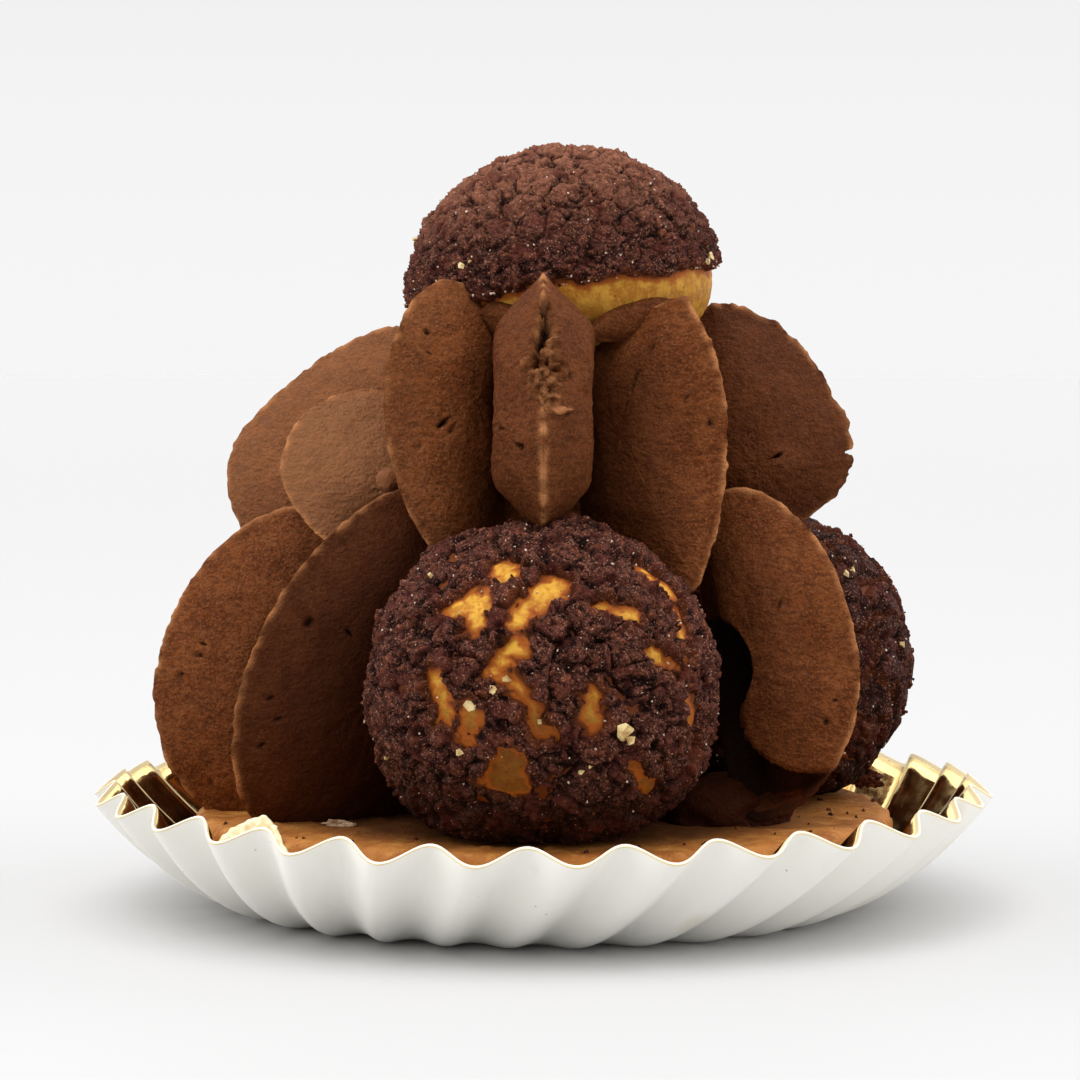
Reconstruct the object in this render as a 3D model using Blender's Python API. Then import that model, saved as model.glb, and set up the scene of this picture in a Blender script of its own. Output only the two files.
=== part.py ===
"""Chocolate saint-honore in its fluted card case: a pastry disc, three choux buns round a core of
piped cream and one on top, each under its own craquelin cap, with blades of cream between them.

Metres, +Z up. The origin is the middle of the case's underside, and -Y is the cake's front.
"""

import math
import random

import bmesh
import bpy
from mathutils import Vector

MM = 0.001
GAP = 0.3 * MM  # left between pieces that touch

# The card case: a flat floor, then a wall that curves up to a rim of slanting flutes.
CASE_FLOOR_RADIUS = 30.5 * MM
CASE_RIM_RADIUS = 49.1 * MM
CASE_RIM_HEIGHT = 11.95 * MM
CASE_CURVE = 1.85  # how the wall's height grows with its reach
CARD = 0.55 * MM
FLUTES = 31
FLUTE_DEPTH = 1.4 * MM  # out and in from the middle of the wall, at the rim
FLUTE_START = math.radians(3.9)  # where one flute stands furthest out at the rim
FLUTE_SWIRL = math.radians(-12)  # from the rim to the floor
FLUTE_FADE = 1.2  # how the flutes flatten towards the floor: 1 is evenly
CASE_ROWS = 4

# The pastry disc.
BASE_RADIUS = 38.8 * MM
BASE_TOP = 10.5 * MM
BASE_BOTTOM = CARD + GAP
BASE_SIDES = 32

# The choux buns under their craquelin.
CRUST = 1.5 * MM
CHOUX_SIDES = 16
CHOUX_ROWS = 10
BELLY = 0.85  # 1 is a round underside, and less is a squarer one
LUMPS = 6  # swellings and dips drawn for each bun
LUMP_HEIGHTS = (-0.02, 0.025)  # the deepest dip and the highest swelling, as shares of the bun
LUMP_SPREAD = 30  # degrees
LUMP_BAND = (-0.6, 0.9)  # the cosines of the polar angles that they lie between

# The cream.
CORE_TOP = 58.0 * MM
CORE_SIDES = 20
PETAL_STEPS = 16
PETAL_BEVEL = 7.0 * MM  # how far behind its ridge a blade reaches its full thickness
PETAL_DEPTHS = (2.8 * MM, PETAL_BEVEL)  # where its faces bend
CURL_FALL = 1.5  # how the curl gathers towards the blade's foot
CURL_EDGE = 3  # and towards its ridge
HOOK_SHARE = 0.3  # how far a crescent's middle moves in with its tips


class Choux:
    """One choux bun with its craquelin: a squashed ball, lumpy, tilted and flat where it rests."""

    def __init__(self, name, azimuth, ring, height, wide, above, below, hem, tilt=0.0, bumps=()):
        self.name = name
        turn = math.radians(azimuth)
        self.centre = Vector((ring * math.sin(turn), -ring * math.cos(turn), height)) * MM
        self.wide = wide * MM
        self.above = above * MM
        self.below = below * MM
        self.hem = math.radians(hem)
        self.tilt = math.radians(tilt)
        draw = random.Random(name)
        self.bumps = list(bumps)
        for _ in range(LUMPS):
            up = math.degrees(math.acos(draw.uniform(*LUMP_BAND)))
            self.bumps.append((draw.uniform(0, 360), up, draw.uniform(*LUMP_HEIGHTS), LUMP_SPREAD))

    def point(self, polar, around, inset):
        """The point of the skin at these angles, as far under the craquelin's surface as inset says."""
        across = math.sin(polar)
        aim = Vector((across * math.cos(around), across * math.sin(around), math.cos(polar)))
        swell = 1.0
        for azimuth, bump_polar, height, spread in self.bumps:
            side = math.sin(math.radians(bump_polar))
            turn = math.radians(azimuth)
            top = Vector((side * math.sin(turn), -side * math.cos(turn), math.cos(math.radians(bump_polar))))
            swell += height * math.exp(-(aim.angle(top) / math.radians(spread)) ** 2)
        if aim.z > 0:
            spot = Vector((aim.x * self.wide, aim.y * self.wide, aim.z * self.above)) * swell
        else:
            wide = self.wide * max(across, 1e-6) ** (BELLY - 1)
            spot = Vector((aim.x * wide, aim.y * wide, -self.below * abs(aim.z) ** BELLY)) * swell
        spot -= aim * inset
        leaning = math.cos(self.tilt), math.sin(self.tilt)
        x = spot.x * leaning[0] - spot.z * leaning[1]
        z = spot.x * leaning[1] + spot.z * leaning[0]
        return self.centre + Vector((x, spot.y, z))


CHOUX = (
    Choux("front", 0, 24.0, 26.6, 19.0, 17.9, 17.4, 144,
          bumps=((-70, 32, 0.035, 16), (60, 24, 0.03, 15))),
    Choux("right", 115, 26.9, 26.4, 18.2, 18.0, 17.4, 144),
    Choux("left", -130, 26.0, 26.2, 18.0, 17.6, 17.2, 144),
    Choux("top", 90, 2.6, 68.5, 17.9, 16.8, 9.6, 95, tilt=8.0),
)


class Petal:
    """One piped blade of cream. It stands on edge and points away from the cake's axis; a sharp ridge
    runs round its hub, and behind the ridge both faces spread out to the blade's thickness. The ridge
    may curl to one side at its foot, and hook makes a crescent of the blade."""

    def __init__(self, name, azimuth, hub, reach, rise, tilt, yaw=0, thick=5.5, curl=0.0, hook=0.0):
        turn = math.radians(azimuth)
        self.name = name
        self.hub = Vector((hub[0] * math.sin(turn), -hub[0] * math.cos(turn), hub[1])) * MM
        self.heading = math.radians(azimuth + yaw)
        self.outward, self.inward = reach[0] * MM, reach[1] * MM
        self.up, self.down = rise[0] * MM, rise[1] * MM
        self.tilt = math.radians(tilt)
        self.thick = thick * MM
        self.curl = curl * MM
        self.hook = hook * MM

    def ridge(self, turn):
        """The ridge's place at this turn round the hub: out from the hub, and up."""
        out = (self.outward if math.cos(turn) > 0 else self.inward) * math.cos(turn)
        up = (self.up if math.sin(turn) > 0 else self.down) * math.sin(turn)
        return out - self.hook * math.sin(turn) ** 4, up

    def point(self, turn, depth, side, grow=0.0):
        """A point of one face, so far in from the ridge at this turn. side is 1 or -1."""
        out, up = self.ridge(turn)
        middle = (self.outward - self.inward) / 2 - HOOK_SHARE * self.hook
        length = math.hypot(out - middle, up)
        share = max(0.0, (length - depth + grow) / length)
        out, up = middle + (out - middle) * share, up * share
        tilt_cos, tilt_sin = math.cos(self.tilt), math.sin(self.tilt)
        out, up = out * tilt_cos - up * tilt_sin, out * tilt_sin + up * tilt_cos
        swell = (self.thick + grow) * math.sin(math.pi / 2 * min(1.0, depth / PETAL_BEVEL))
        across = side * swell + self.curl * max(0.0, -math.sin(turn)) ** CURL_FALL * share ** CURL_EDGE
        sine, cosine = math.sin(self.heading), math.cos(self.heading)
        return self.hub + Vector((out * sine + across * cosine, across * sine - out * cosine, up))


# Those in front come first: each blade is cut away where it meets one above it in this list.
PETALS = (
    Petal("upper_1", 0, (21.5, 56.5), (9.6, 12), (13.8, 14.2), 12),
    Petal("upper_2", -35, (18.6, 56.6), (8.6, 10), (13.2, 17.8), 11, yaw=-10, curl=4.5),
    Petal("upper_3", 42, (23.0, 53.5), (5.6, 13), (14.0, 17.5), -2, yaw=11, curl=-4.0),
    Petal("upper_4", -72, (18.5, 46.8), (12.2, 10), (10.8, 8.6), 13, curl=3.0),
    Petal("lower_1", -58, (21.8, 24.5), (16.0, 12), (23.8, 19.0), 20),
    Petal("upper_5", 86, (23.4, 49.4), (11.6, 10), (18.2, 8.2), 16),
    Petal("lower_2", 60, (30.5, 28.8), (8.4, 9), (19.4, 17.8), 13, curl=-3.5, hook=4.0),
    Petal("upper_6", -108, (24.6, 44.4), (14.3, 12), (23.0, 10.0), 36),
    Petal("lower_3", -86, (27.6, 24.5), (16.0, 12), (20.8, 17.6), 14),
    Petal("upper_7", 120, (21.0, 50.5), (11.5, 10), (14.5, 11.0), 14),
    Petal("upper_8", 153, (20.5, 53.0), (10.5, 10), (14.0, 14.0), 10),
    Petal("upper_9", -173, (21.0, 52.0), (10.8, 10), (13.5, 14.5), 12, curl=2.5),
    Petal("upper_10", -141, (20.5, 50.0), (11.5, 10), (14.5, 12.5), 14),
    Petal("lower_4", 160, (25.5, 25.0), (13.5, 10), (19.5, 18.0), 15),
    Petal("lower_5", -174, (24.5, 25.0), (14.0, 10), (20.0, 18.0), 17),
)


def clear_scene():
    for thing in list(bpy.data.objects):
        bpy.data.objects.remove(thing, do_unlink=True)


def new_material(name, colour, roughness, metallic=0.0):
    material = bpy.data.materials.new(name)
    material.use_nodes = True
    shader = material.node_tree.nodes["Principled BSDF"]
    shader.inputs["Base Color"].default_value = (*colour, 1.0)
    shader.inputs["Roughness"].default_value = roughness
    shader.inputs["Metallic"].default_value = metallic
    return material


def add_object(name, shape, material=None, crease=40):
    """Puts the shape in the scene as an object, with its faces pointing out."""
    bmesh.ops.recalc_face_normals(shape, faces=shape.faces)
    mesh = bpy.data.meshes.new(name)
    shape.to_mesh(mesh)
    shape.free()
    if material:
        mesh.materials.append(material)
    mesh.shade_smooth()
    mesh.set_sharp_from_angle(angle=math.radians(crease))
    thing = bpy.data.objects.new(name, mesh)
    bpy.context.scene.collection.objects.link(thing)
    return thing


def join_rows(rows):
    """A closed skin over rows of points that run round it. A row of one point closes an end."""
    shape = bmesh.new()
    rings = [[shape.verts.new(point) for point in row] for row in rows]
    for lower, upper in zip(rings, rings[1:]):
        count = max(len(lower), len(upper))
        for i in range(count):
            corners = [lower[i % len(lower)], lower[(i + 1) % len(lower)]]
            corners += [upper[(i + 1) % len(upper)], upper[i % len(upper)]]
            shape.faces.new(list(dict.fromkeys(corners)))
    return shape


def turned(profile, sides):
    """Rows of points for a shape turned about Z, from (radius, height) pairs that start and end on it."""
    rows = []
    for radius, height in profile:
        count = sides if radius > 0 else 1
        turns = [math.tau * i / sides for i in range(count)]
        rows.append([(radius * math.cos(turn), radius * math.sin(turn), height) for turn in turns])
    return rows


def case_point(turn, share, depth):
    """A point of the case's wall: share is 0 at the floor and 1 at the rim, depth is under the outside."""
    reach = CASE_RIM_RADIUS - CASE_FLOOR_RADIUS
    slope = math.atan(CASE_RIM_HEIGHT * CASE_CURVE * share ** (CASE_CURVE - 1) / reach)
    wave = math.cos(FLUTES * (turn - FLUTE_START)) * FLUTE_DEPTH * share ** FLUTE_FADE - depth
    radius = CASE_FLOOR_RADIUS + reach * share + wave * math.sin(slope)
    height = CASE_RIM_HEIGHT * share ** CASE_CURVE - wave * math.cos(slope)
    azimuth = turn + FLUTE_SWIRL * (1.0 - share)
    return (radius * math.sin(azimuth), -radius * math.cos(azimuth), max(height, depth))


def make_case(material):
    columns = 4 * FLUTES  # the furthest out and furthest in of each flute, and half way between
    turns = [FLUTE_START + math.tau * i / columns for i in range(columns)]
    outside = [[case_point(turn, i / CASE_ROWS, 0.0) for turn in turns] for i in range(CASE_ROWS + 1)]
    inside = [[case_point(turn, i / CASE_ROWS, CARD) for turn in turns] for i in range(CASE_ROWS, 0, -1)]
    inside.append([case_point(turn, 0.0, CARD) for turn in turns])
    rows = [[(0, 0, 0)], *outside, *inside, [(0, 0, CARD)]]
    return add_object("card_case", join_rows(rows), material, crease=60)


def make_base(material):
    profile = (
        (0, BASE_BOTTOM),
        (CASE_FLOOR_RADIUS - 1.5 * MM, BASE_BOTTOM),
        (BASE_RADIUS - 3.0 * MM, BASE_BOTTOM + 1.4 * MM),
        (BASE_RADIUS, BASE_BOTTOM + 3.5 * MM),
        (BASE_RADIUS, BASE_TOP - 1.0 * MM),
        (BASE_RADIUS - 1.0 * MM, BASE_TOP),
        (0, BASE_TOP),
    )
    return add_object("pastry_base", join_rows(turned(profile, BASE_SIDES)), material)


def choux_rows(choux, inset, last, rows, floor):
    """Rows of points of a choux's skin, from its top down to the polar angle last."""
    found = [[choux.point(0.0, 0.0, inset)]]
    for i in range(1, rows + 1):
        polar = last * i / rows
        if polar > math.pi - 0.01:
            ring = [choux.point(math.pi, 0.0, inset)]
        else:
            turns = [math.tau * j / CHOUX_SIDES for j in range(CHOUX_SIDES)]
            ring = [choux.point(polar, turn, inset) for turn in turns]
        found.append([Vector((spot.x, spot.y, max(spot.z, floor))) for spot in ring])
    return found


def make_bun(choux, material):
    rows = choux_rows(choux, CRUST + GAP, math.pi, CHOUX_ROWS, BASE_TOP + GAP)
    return add_object("choux_" + choux.name, join_rows(rows), material)


def make_craquelin(choux, material):
    """The cap: the outer skin down to its hem, then back up inside it."""
    rows = round(CHOUX_ROWS * choux.hem / math.pi)
    outer = choux_rows(choux, 0.0, choux.hem, rows, BASE_TOP + GAP)
    inner = choux_rows(choux, CRUST, choux.hem, rows, BASE_TOP + GAP)
    return add_object("craquelin_" + choux.name, join_rows(outer + inner[::-1]), material)


def choux_cutter(choux):
    """The room that a choux takes up, its craquelin and a gap around it included."""
    rows = choux_rows(choux, -GAP, math.pi, CHOUX_ROWS, BASE_TOP)
    return as_cutter(add_object("room_" + choux.name, join_rows(rows)))


def petal_shape(petal, grow):
    turns = [math.tau * i / PETAL_STEPS for i in range(PETAL_STEPS)]
    hub_depth = petal.up + petal.down
    rows = [[petal.point(0.0, hub_depth, 1, grow)]]
    for depth in reversed(PETAL_DEPTHS):
        rows.append([petal.point(turn, depth, 1, grow) for turn in turns])
    rows.append([petal.point(turn, 0.0, 1, grow) for turn in turns])
    for depth in PETAL_DEPTHS:
        rows.append([petal.point(turn, depth, -1, grow) for turn in turns])
    rows.append([petal.point(0.0, hub_depth, -1, grow)])
    return join_rows(rows)


def core_shape(grow):
    """The mound of cream that the buns and the blades are set round."""
    bottom = BASE_TOP + GAP
    profile = (
        (0, bottom),
        (13.0 * MM + grow, bottom),
        (14.5 * MM + grow, 22.0 * MM),
        (13.5 * MM + grow, 36.0 * MM),
        (12.5 * MM + grow, 50.0 * MM),
        (10.0 * MM + grow, CORE_TOP - 1.5 * MM + grow),
        (6.0 * MM, CORE_TOP + grow),
        (0, CORE_TOP + grow),
    )
    return join_rows(turned(profile, CORE_SIDES))


def as_cutter(thing):
    thing.hide_render = True
    thing.display_type = "WIRE"
    return thing


def boxes_meet(first, second):
    lows, highs = [], []
    for thing in (first, second):
        points = [vertex.co for vertex in thing.data.vertices]
        lows.append([min(point[i] for point in points) for i in range(3)])
        highs.append([max(point[i] for point in points) for i in range(3)])
    return all(lows[0][i] < highs[1][i] and lows[1][i] < highs[0][i] for i in range(3))


def bodies_of(shape):
    """The faces of each separate body of a mesh."""
    left = set(shape.faces)
    bodies = []
    while left:
        body = [left.pop()]
        for face in body:
            for edge in face.edges:
                fresh = [near for near in edge.link_faces if near in left]
                left.difference_update(fresh)
                body.extend(fresh)
        bodies.append(body)
    return bodies


def body_volume(faces):
    total = 0.0
    for face in faces:
        first = face.verts[0].co
        for one, two in zip(face.verts[1:], face.verts[2:]):
            total += first.dot(one.co.cross(two.co)) / 6
    return total


def carve(thing, cutters):
    """Cuts the room of the pieces that it meets from a piece, and drops any scrap that this leaves."""
    for cutter in cutters:
        if boxes_meet(thing, cutter):
            cut = thing.modifiers.new("cut_" + cutter.name, "BOOLEAN")
            cut.operation = "DIFFERENCE"
            cut.solver = "EXACT"
            cut.object = cutter
    graph = bpy.context.evaluated_depsgraph_get()
    carved = bpy.data.meshes.new_from_object(thing.evaluated_get(graph))
    thing.modifiers.clear()
    shape = bmesh.new()
    shape.from_mesh(carved)
    bmesh.ops.triangulate(shape, faces=shape.faces)
    bmesh.ops.dissolve_degenerate(shape, edges=shape.edges, dist=0.01 * MM)
    bodies = sorted(bodies_of(shape), key=body_volume)
    scraps = [face for body in bodies[:-1] for face in body]
    bmesh.ops.delete(shape, geom=scraps, context="FACES")
    bmesh.ops.delete(shape, geom=[vert for vert in shape.verts if not vert.link_faces], context="VERTS")
    shape.to_mesh(thing.data)
    shape.free()
    bpy.data.meshes.remove(carved)


def main():
    clear_scene()
    card = new_material("white_card", (0.86, 0.85, 0.81), 0.6)
    pastry = new_material("baked_pastry", (0.55, 0.26, 0.07), 0.65)
    bun = new_material("choux_pastry", (0.62, 0.36, 0.09), 0.55)
    crust = new_material("cocoa_craquelin", (0.06, 0.025, 0.02), 0.85)
    cream = new_material("chocolate_cream", (0.22, 0.09, 0.045), 0.6)

    make_case(card)
    make_base(pastry)
    rooms = []
    for choux in CHOUX:
        make_bun(choux, bun)
        make_craquelin(choux, crust)
        rooms.append(choux_cutter(choux))

    under = ((0, 0), (CASE_RIM_RADIUS, 0), (CASE_RIM_RADIUS, BASE_TOP + GAP), (0, BASE_TOP + GAP))
    floor_room = as_cutter(add_object("room_floor", join_rows(turned(under, BASE_SIDES))))
    core_room = as_cutter(add_object("room_core", core_shape(GAP)))
    taken = [*rooms, core_room, floor_room]
    for petal in PETALS:
        blade = add_object("petal_" + petal.name, petal_shape(petal, 0.0), cream)
        carve(blade, taken)
        taken.append(as_cutter(add_object("room_" + petal.name, petal_shape(petal, GAP))))
    core = add_object("cream_core", core_shape(0.0), cream)
    carve(core, rooms)
    for room in taken:
        bpy.data.objects.remove(room, do_unlink=True)


main()
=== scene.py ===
"""The looks of a chocolate saint-honore in its card case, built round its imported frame.

Every piece is made in millimetres by its own function, from the places and sizes of the frame's
nodes, and put in the scene in metres. -Y is the cake's front.
"""

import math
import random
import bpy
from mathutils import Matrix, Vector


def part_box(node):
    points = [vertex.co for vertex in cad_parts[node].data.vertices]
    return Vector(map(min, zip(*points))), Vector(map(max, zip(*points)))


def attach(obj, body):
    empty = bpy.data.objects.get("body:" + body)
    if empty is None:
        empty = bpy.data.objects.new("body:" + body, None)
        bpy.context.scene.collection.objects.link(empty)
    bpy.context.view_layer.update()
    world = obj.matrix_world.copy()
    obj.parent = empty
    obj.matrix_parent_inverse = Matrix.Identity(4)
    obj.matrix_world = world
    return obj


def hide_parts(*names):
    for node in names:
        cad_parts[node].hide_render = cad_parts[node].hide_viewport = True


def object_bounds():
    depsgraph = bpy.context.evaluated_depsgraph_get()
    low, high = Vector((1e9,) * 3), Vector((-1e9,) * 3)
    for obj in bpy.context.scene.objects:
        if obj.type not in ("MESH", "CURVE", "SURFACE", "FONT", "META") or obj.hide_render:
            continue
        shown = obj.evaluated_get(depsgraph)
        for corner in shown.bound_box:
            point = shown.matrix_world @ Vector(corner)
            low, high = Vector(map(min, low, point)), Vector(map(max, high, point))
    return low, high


bl_info = {
    "name": "Chocolate saint-honore",
    "version": (1, 0, 0),
    "blender": (4, 5, 0),
    "location": "3D View > Sidebar > Cake",
    "description": "Buns, craquelin, piped cream and card case of a small saint-honore",
    "category": "Object",
}

import bpy
import numpy as np
from mathutils import Vector

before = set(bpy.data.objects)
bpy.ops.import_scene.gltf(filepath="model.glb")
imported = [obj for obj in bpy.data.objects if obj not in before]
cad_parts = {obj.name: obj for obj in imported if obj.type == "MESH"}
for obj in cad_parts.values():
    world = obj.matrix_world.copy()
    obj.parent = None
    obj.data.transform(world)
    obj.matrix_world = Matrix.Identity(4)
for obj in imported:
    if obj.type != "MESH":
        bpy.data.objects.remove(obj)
FRAME_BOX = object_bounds()

MM = 0.001
FULL_TURN = 2 * math.pi


# ---------------------------------------------------------------- grain and noise


def hashed(cells, salt):
    """A number from 0 to 1 for each cell of a grid of whole numbers, the same at every run."""
    mixed = cells[..., 0] * 73856093 ^ cells[..., 1] * 19349663 ^ cells[..., 2] * 83492791
    mixed = (mixed ^ salt * 2654435761) & 0xFFFFFFFF
    mixed = ((mixed ^ mixed >> 15) * 0x2C1B3C6D) & 0xFFFFFFFF
    mixed = ((mixed ^ mixed >> 12) * 0x297A2D39) & 0xFFFFFFFF
    return ((mixed ^ mixed >> 15) & 0xFFFFFF) / 0xFFFFFF


def swells(points, size, salt=0):
    """Smooth noise from -1 to 1, with swells of about this size."""
    places = points / size
    corner = np.floor(places).astype(np.int64)
    inside = places - corner
    inside = inside ** 3 * (inside * (inside * 6 - 15) + 10)
    total = np.zeros(len(points))
    for x in (0, 1):
        for y in (0, 1):
            for z in (0, 1):
                step = np.array((x, y, z))
                share = np.prod(np.where(step == 1, inside, 1 - inside), axis=1)
                total += share * hashed(corner + step, salt)
    return total * 2 - 1


def rough(points, size, octaves=3, salt=0):
    """Swells with finer ones on them, each half as large and half as high."""
    total = np.zeros(len(points))
    for i in range(octaves):
        total += swells(points + 17.3 * i, size / 2 ** i, salt + i) / 2 ** i
    return total


def lumps(points, size, salt=0):
    """Irregular cells of about this size: the distance to the nearest middle and on to the next one
    nearest, in cells, and a number from 0 to 1 for each cell."""
    places = points / size
    corner = np.floor(places).astype(np.int64)
    nearest = np.full(len(points), 9.0)
    second = np.full(len(points), 9.0)
    tag = np.zeros(len(points))
    for x in (-1, 0, 1):
        for y in (-1, 0, 1):
            for z in (-1, 0, 1):
                cell = corner + np.array((x, y, z))
                middle = cell + np.stack([hashed(cell, salt + i) for i in (1, 2, 3)], axis=1)
                distance = np.linalg.norm(places - middle, axis=1)
                closer = distance < nearest
                second = np.where(closer, nearest, np.minimum(second, distance))
                tag = np.where(closer, hashed(cell, salt + 4), tag)
                nearest = np.where(closer, distance, nearest)
    return nearest, second - nearest, tag


def smooth_step(low, high, values):
    """0 at low and 1 at high, with a smooth rise between them. It falls where low is above high."""
    share = np.clip((values - low) / (high - low), 0.0, 1.0)
    return share * share * (3 - 2 * share)


def plateau(start, full, fading, end, values):
    """1 between full and fading, and 0 before start and past end."""
    return smooth_step(start, full, values) * (1 - smooth_step(fading, end, values))


# ---------------------------------------------------------------- meshes


def grid_faces(rows, columns, wrap):
    """The squares of a grid of points, row after row. A wrapped grid closes on itself along its rows."""
    starts = np.arange(columns if wrap else columns - 1)
    row, column = np.meshgrid(np.arange(rows - 1), starts, indexing="ij")
    after = (column + 1) % columns
    corners = (row * columns + column, (row + 1) * columns + column,
               (row + 1) * columns + after, row * columns + after)
    return np.stack([corner.ravel() for corner in corners], axis=1)


def capped_grid(rows, columns):
    """Faces of a closed skin: a wrapped grid, then a point that closes its first row and one its last."""
    faces = grid_faces(rows, columns, True).tolist()
    first, last = rows * columns, rows * columns + 1
    for i in range(columns):
        after = (i + 1) % columns
        faces.append((first, i, after))
        faces.append((last, (rows - 1) * columns + after, (rows - 1) * columns + i))
    return faces


def closed_rows(rows, first, last):
    """Points and faces of a closed skin through these rows, from the point first to the point last."""
    points = np.concatenate([*rows, [first], [last]])
    return points, capped_grid(len(rows), len(rows[0]))


def turned(profile, columns):
    """Points and faces of a round solid: (radius, height) pairs from its foot to its top, turned about
    the cake's axis."""
    turns = np.arange(columns) / columns * FULL_TURN
    rows = []
    for radius, height in profile:
        heights = np.full(columns, height)
        rows.append(np.stack((radius * np.cos(turns), radius * np.sin(turns), heights), axis=1))
    return closed_rows(rows, (0.0, 0.0, profile[0][1]), (0.0, 0.0, profile[-1][1]))


def ball(cuts):
    """Directions spread evenly all round, and the squares that join them: a cube of cuts by cuts squares
    to a side, blown up."""
    steps = np.tan(np.linspace(-math.pi / 4, math.pi / 4, cuts + 1))
    across, along = np.meshgrid(steps, steps, indexing="ij")
    sides = []
    for axis in range(3):
        for sign in (1, -1):
            side = np.stack((np.full_like(across, sign), across, along * sign), axis=-1)
            sides.append(np.roll(side, axis, axis=-1).reshape(-1, 3))
    squares = grid_faces(cuts + 1, cuts + 1, False)
    faces = np.concatenate([squares + i * len(sides[0]) for i in range(len(sides))])
    spots = np.round(np.concatenate(sides), 6) + 0.0
    aims, index = np.unique(spots, axis=0, return_inverse=True)
    return units(aims), index.reshape(-1)[faces]


def units(vectors):
    """The same directions, each with a length of 1."""
    return vectors / np.maximum(np.linalg.norm(vectors, axis=1, keepdims=True), 1e-12)


def by_corners(faces):
    """The faces as arrays, one array for each number of corners."""
    for count in {len(face) for face in faces}:
        yield count, np.array([face for face in faces if len(face) == count])


def normals_of(points, faces):
    """Directions that stand out of a skin at its points."""
    total = np.zeros_like(points)
    for count, some in by_corners(faces):
        across = np.cross(points[some[:, 2]] - points[some[:, 0]], points[some[:, -1]] - points[some[:, 1]])
        for i in range(count):
            np.add.at(total, some[:, i], across)
    return units(total)


def is_inside_out(points, faces):
    """Whether a closed skin's faces point inwards: the room that they enclose comes out below zero."""
    room = 0.0
    for count, some in by_corners(faces):
        for i in range(1, count - 1):
            one, two, three = points[some[:, 0]], points[some[:, i]], points[some[:, i + 1]]
            room += np.einsum("ij,ij->", one, np.cross(two, three))
    return room < 0


def add_piece(name, points, faces, material, nodes=(), tints=None, flat=False):
    """Puts a piece in the scene: points in millimetres, and tints, which are numbers for its material to
    read at each point. It rides with the cake and stands for the frame's nodes."""
    mesh = bpy.data.meshes.new(name)
    mesh.from_pydata((np.asarray(points) * MM).tolist(), [], [tuple(face) for face in faces])
    mesh.polygons.foreach_set("use_smooth", np.full(len(mesh.polygons), not flat))
    for tint, values in (tints or {}).items():
        layer = mesh.attributes.new(tint, "FLOAT", "POINT")
        layer.data.foreach_set("value", np.asarray(values, np.float32))
    mesh.materials.append(material)
    mesh.update()
    piece = bpy.data.objects.new(name, mesh)
    bpy.context.scene.collection.objects.link(piece)
    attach(piece, "root")
    if nodes:
        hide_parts(*nodes)
    return piece


def box_of(node):
    """The frame node's lowest and highest corner, in millimetres."""
    low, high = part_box(node)
    return np.array(low) / MM, np.array(high) / MM


def facing(azimuth):
    """The level direction at this azimuth, in radians from the front towards the right."""
    return np.array((math.sin(azimuth), -math.cos(azimuth), 0.0))


# ---------------------------------------------------------------- finishes


class NodeTree:
    """Short ways to add shader nodes to a tree."""

    def __init__(self, tree):
        self.tree = tree

    def add(self, kind, inputs=None, **settings):
        """Adds a node of this kind, with these inputs and settings."""
        made = self.tree.nodes.new(kind)
        for setting, value in settings.items():
            setattr(made, setting, value)
        for socket, value in (inputs or {}).items():
            self.fill(made.inputs[socket], value)
        return made

    def fill(self, socket, value):
        """Gives an input another node's output, a colour or a number."""
        if isinstance(value, bpy.types.NodeSocket):
            self.tree.links.new(value, socket)
        elif socket.type == "RGBA":
            socket.default_value = (*value, 1.0)
        else:
            socket.default_value = value

    def between(self, value, low, high, first=0.0, last=1.0):
        """value, spread so that low gives first and high gives last."""
        inputs = {"Value": value, "From Min": low, "From Max": high, "To Min": first, "To Max": last}
        return self.add("ShaderNodeMapRange", inputs, interpolation_type="SMOOTHSTEP").outputs["Result"]

    def blend(self, share, first, second):
        """A colour that goes from first to second as share goes from 0 to 1."""
        made = self.add("ShaderNodeMix", data_type="RGBA")
        self.fill(made.inputs[0], share)
        self.fill(made.inputs[6], first)
        self.fill(made.inputs[7], second)
        return made.outputs[2]

    def sum(self, first, second, operation="ADD"):
        return self.add("ShaderNodeMath", {0: first, 1: second}, operation=operation).outputs[0]

    def times(self, first, second):
        return self.sum(first, second, "MULTIPLY")


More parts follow.
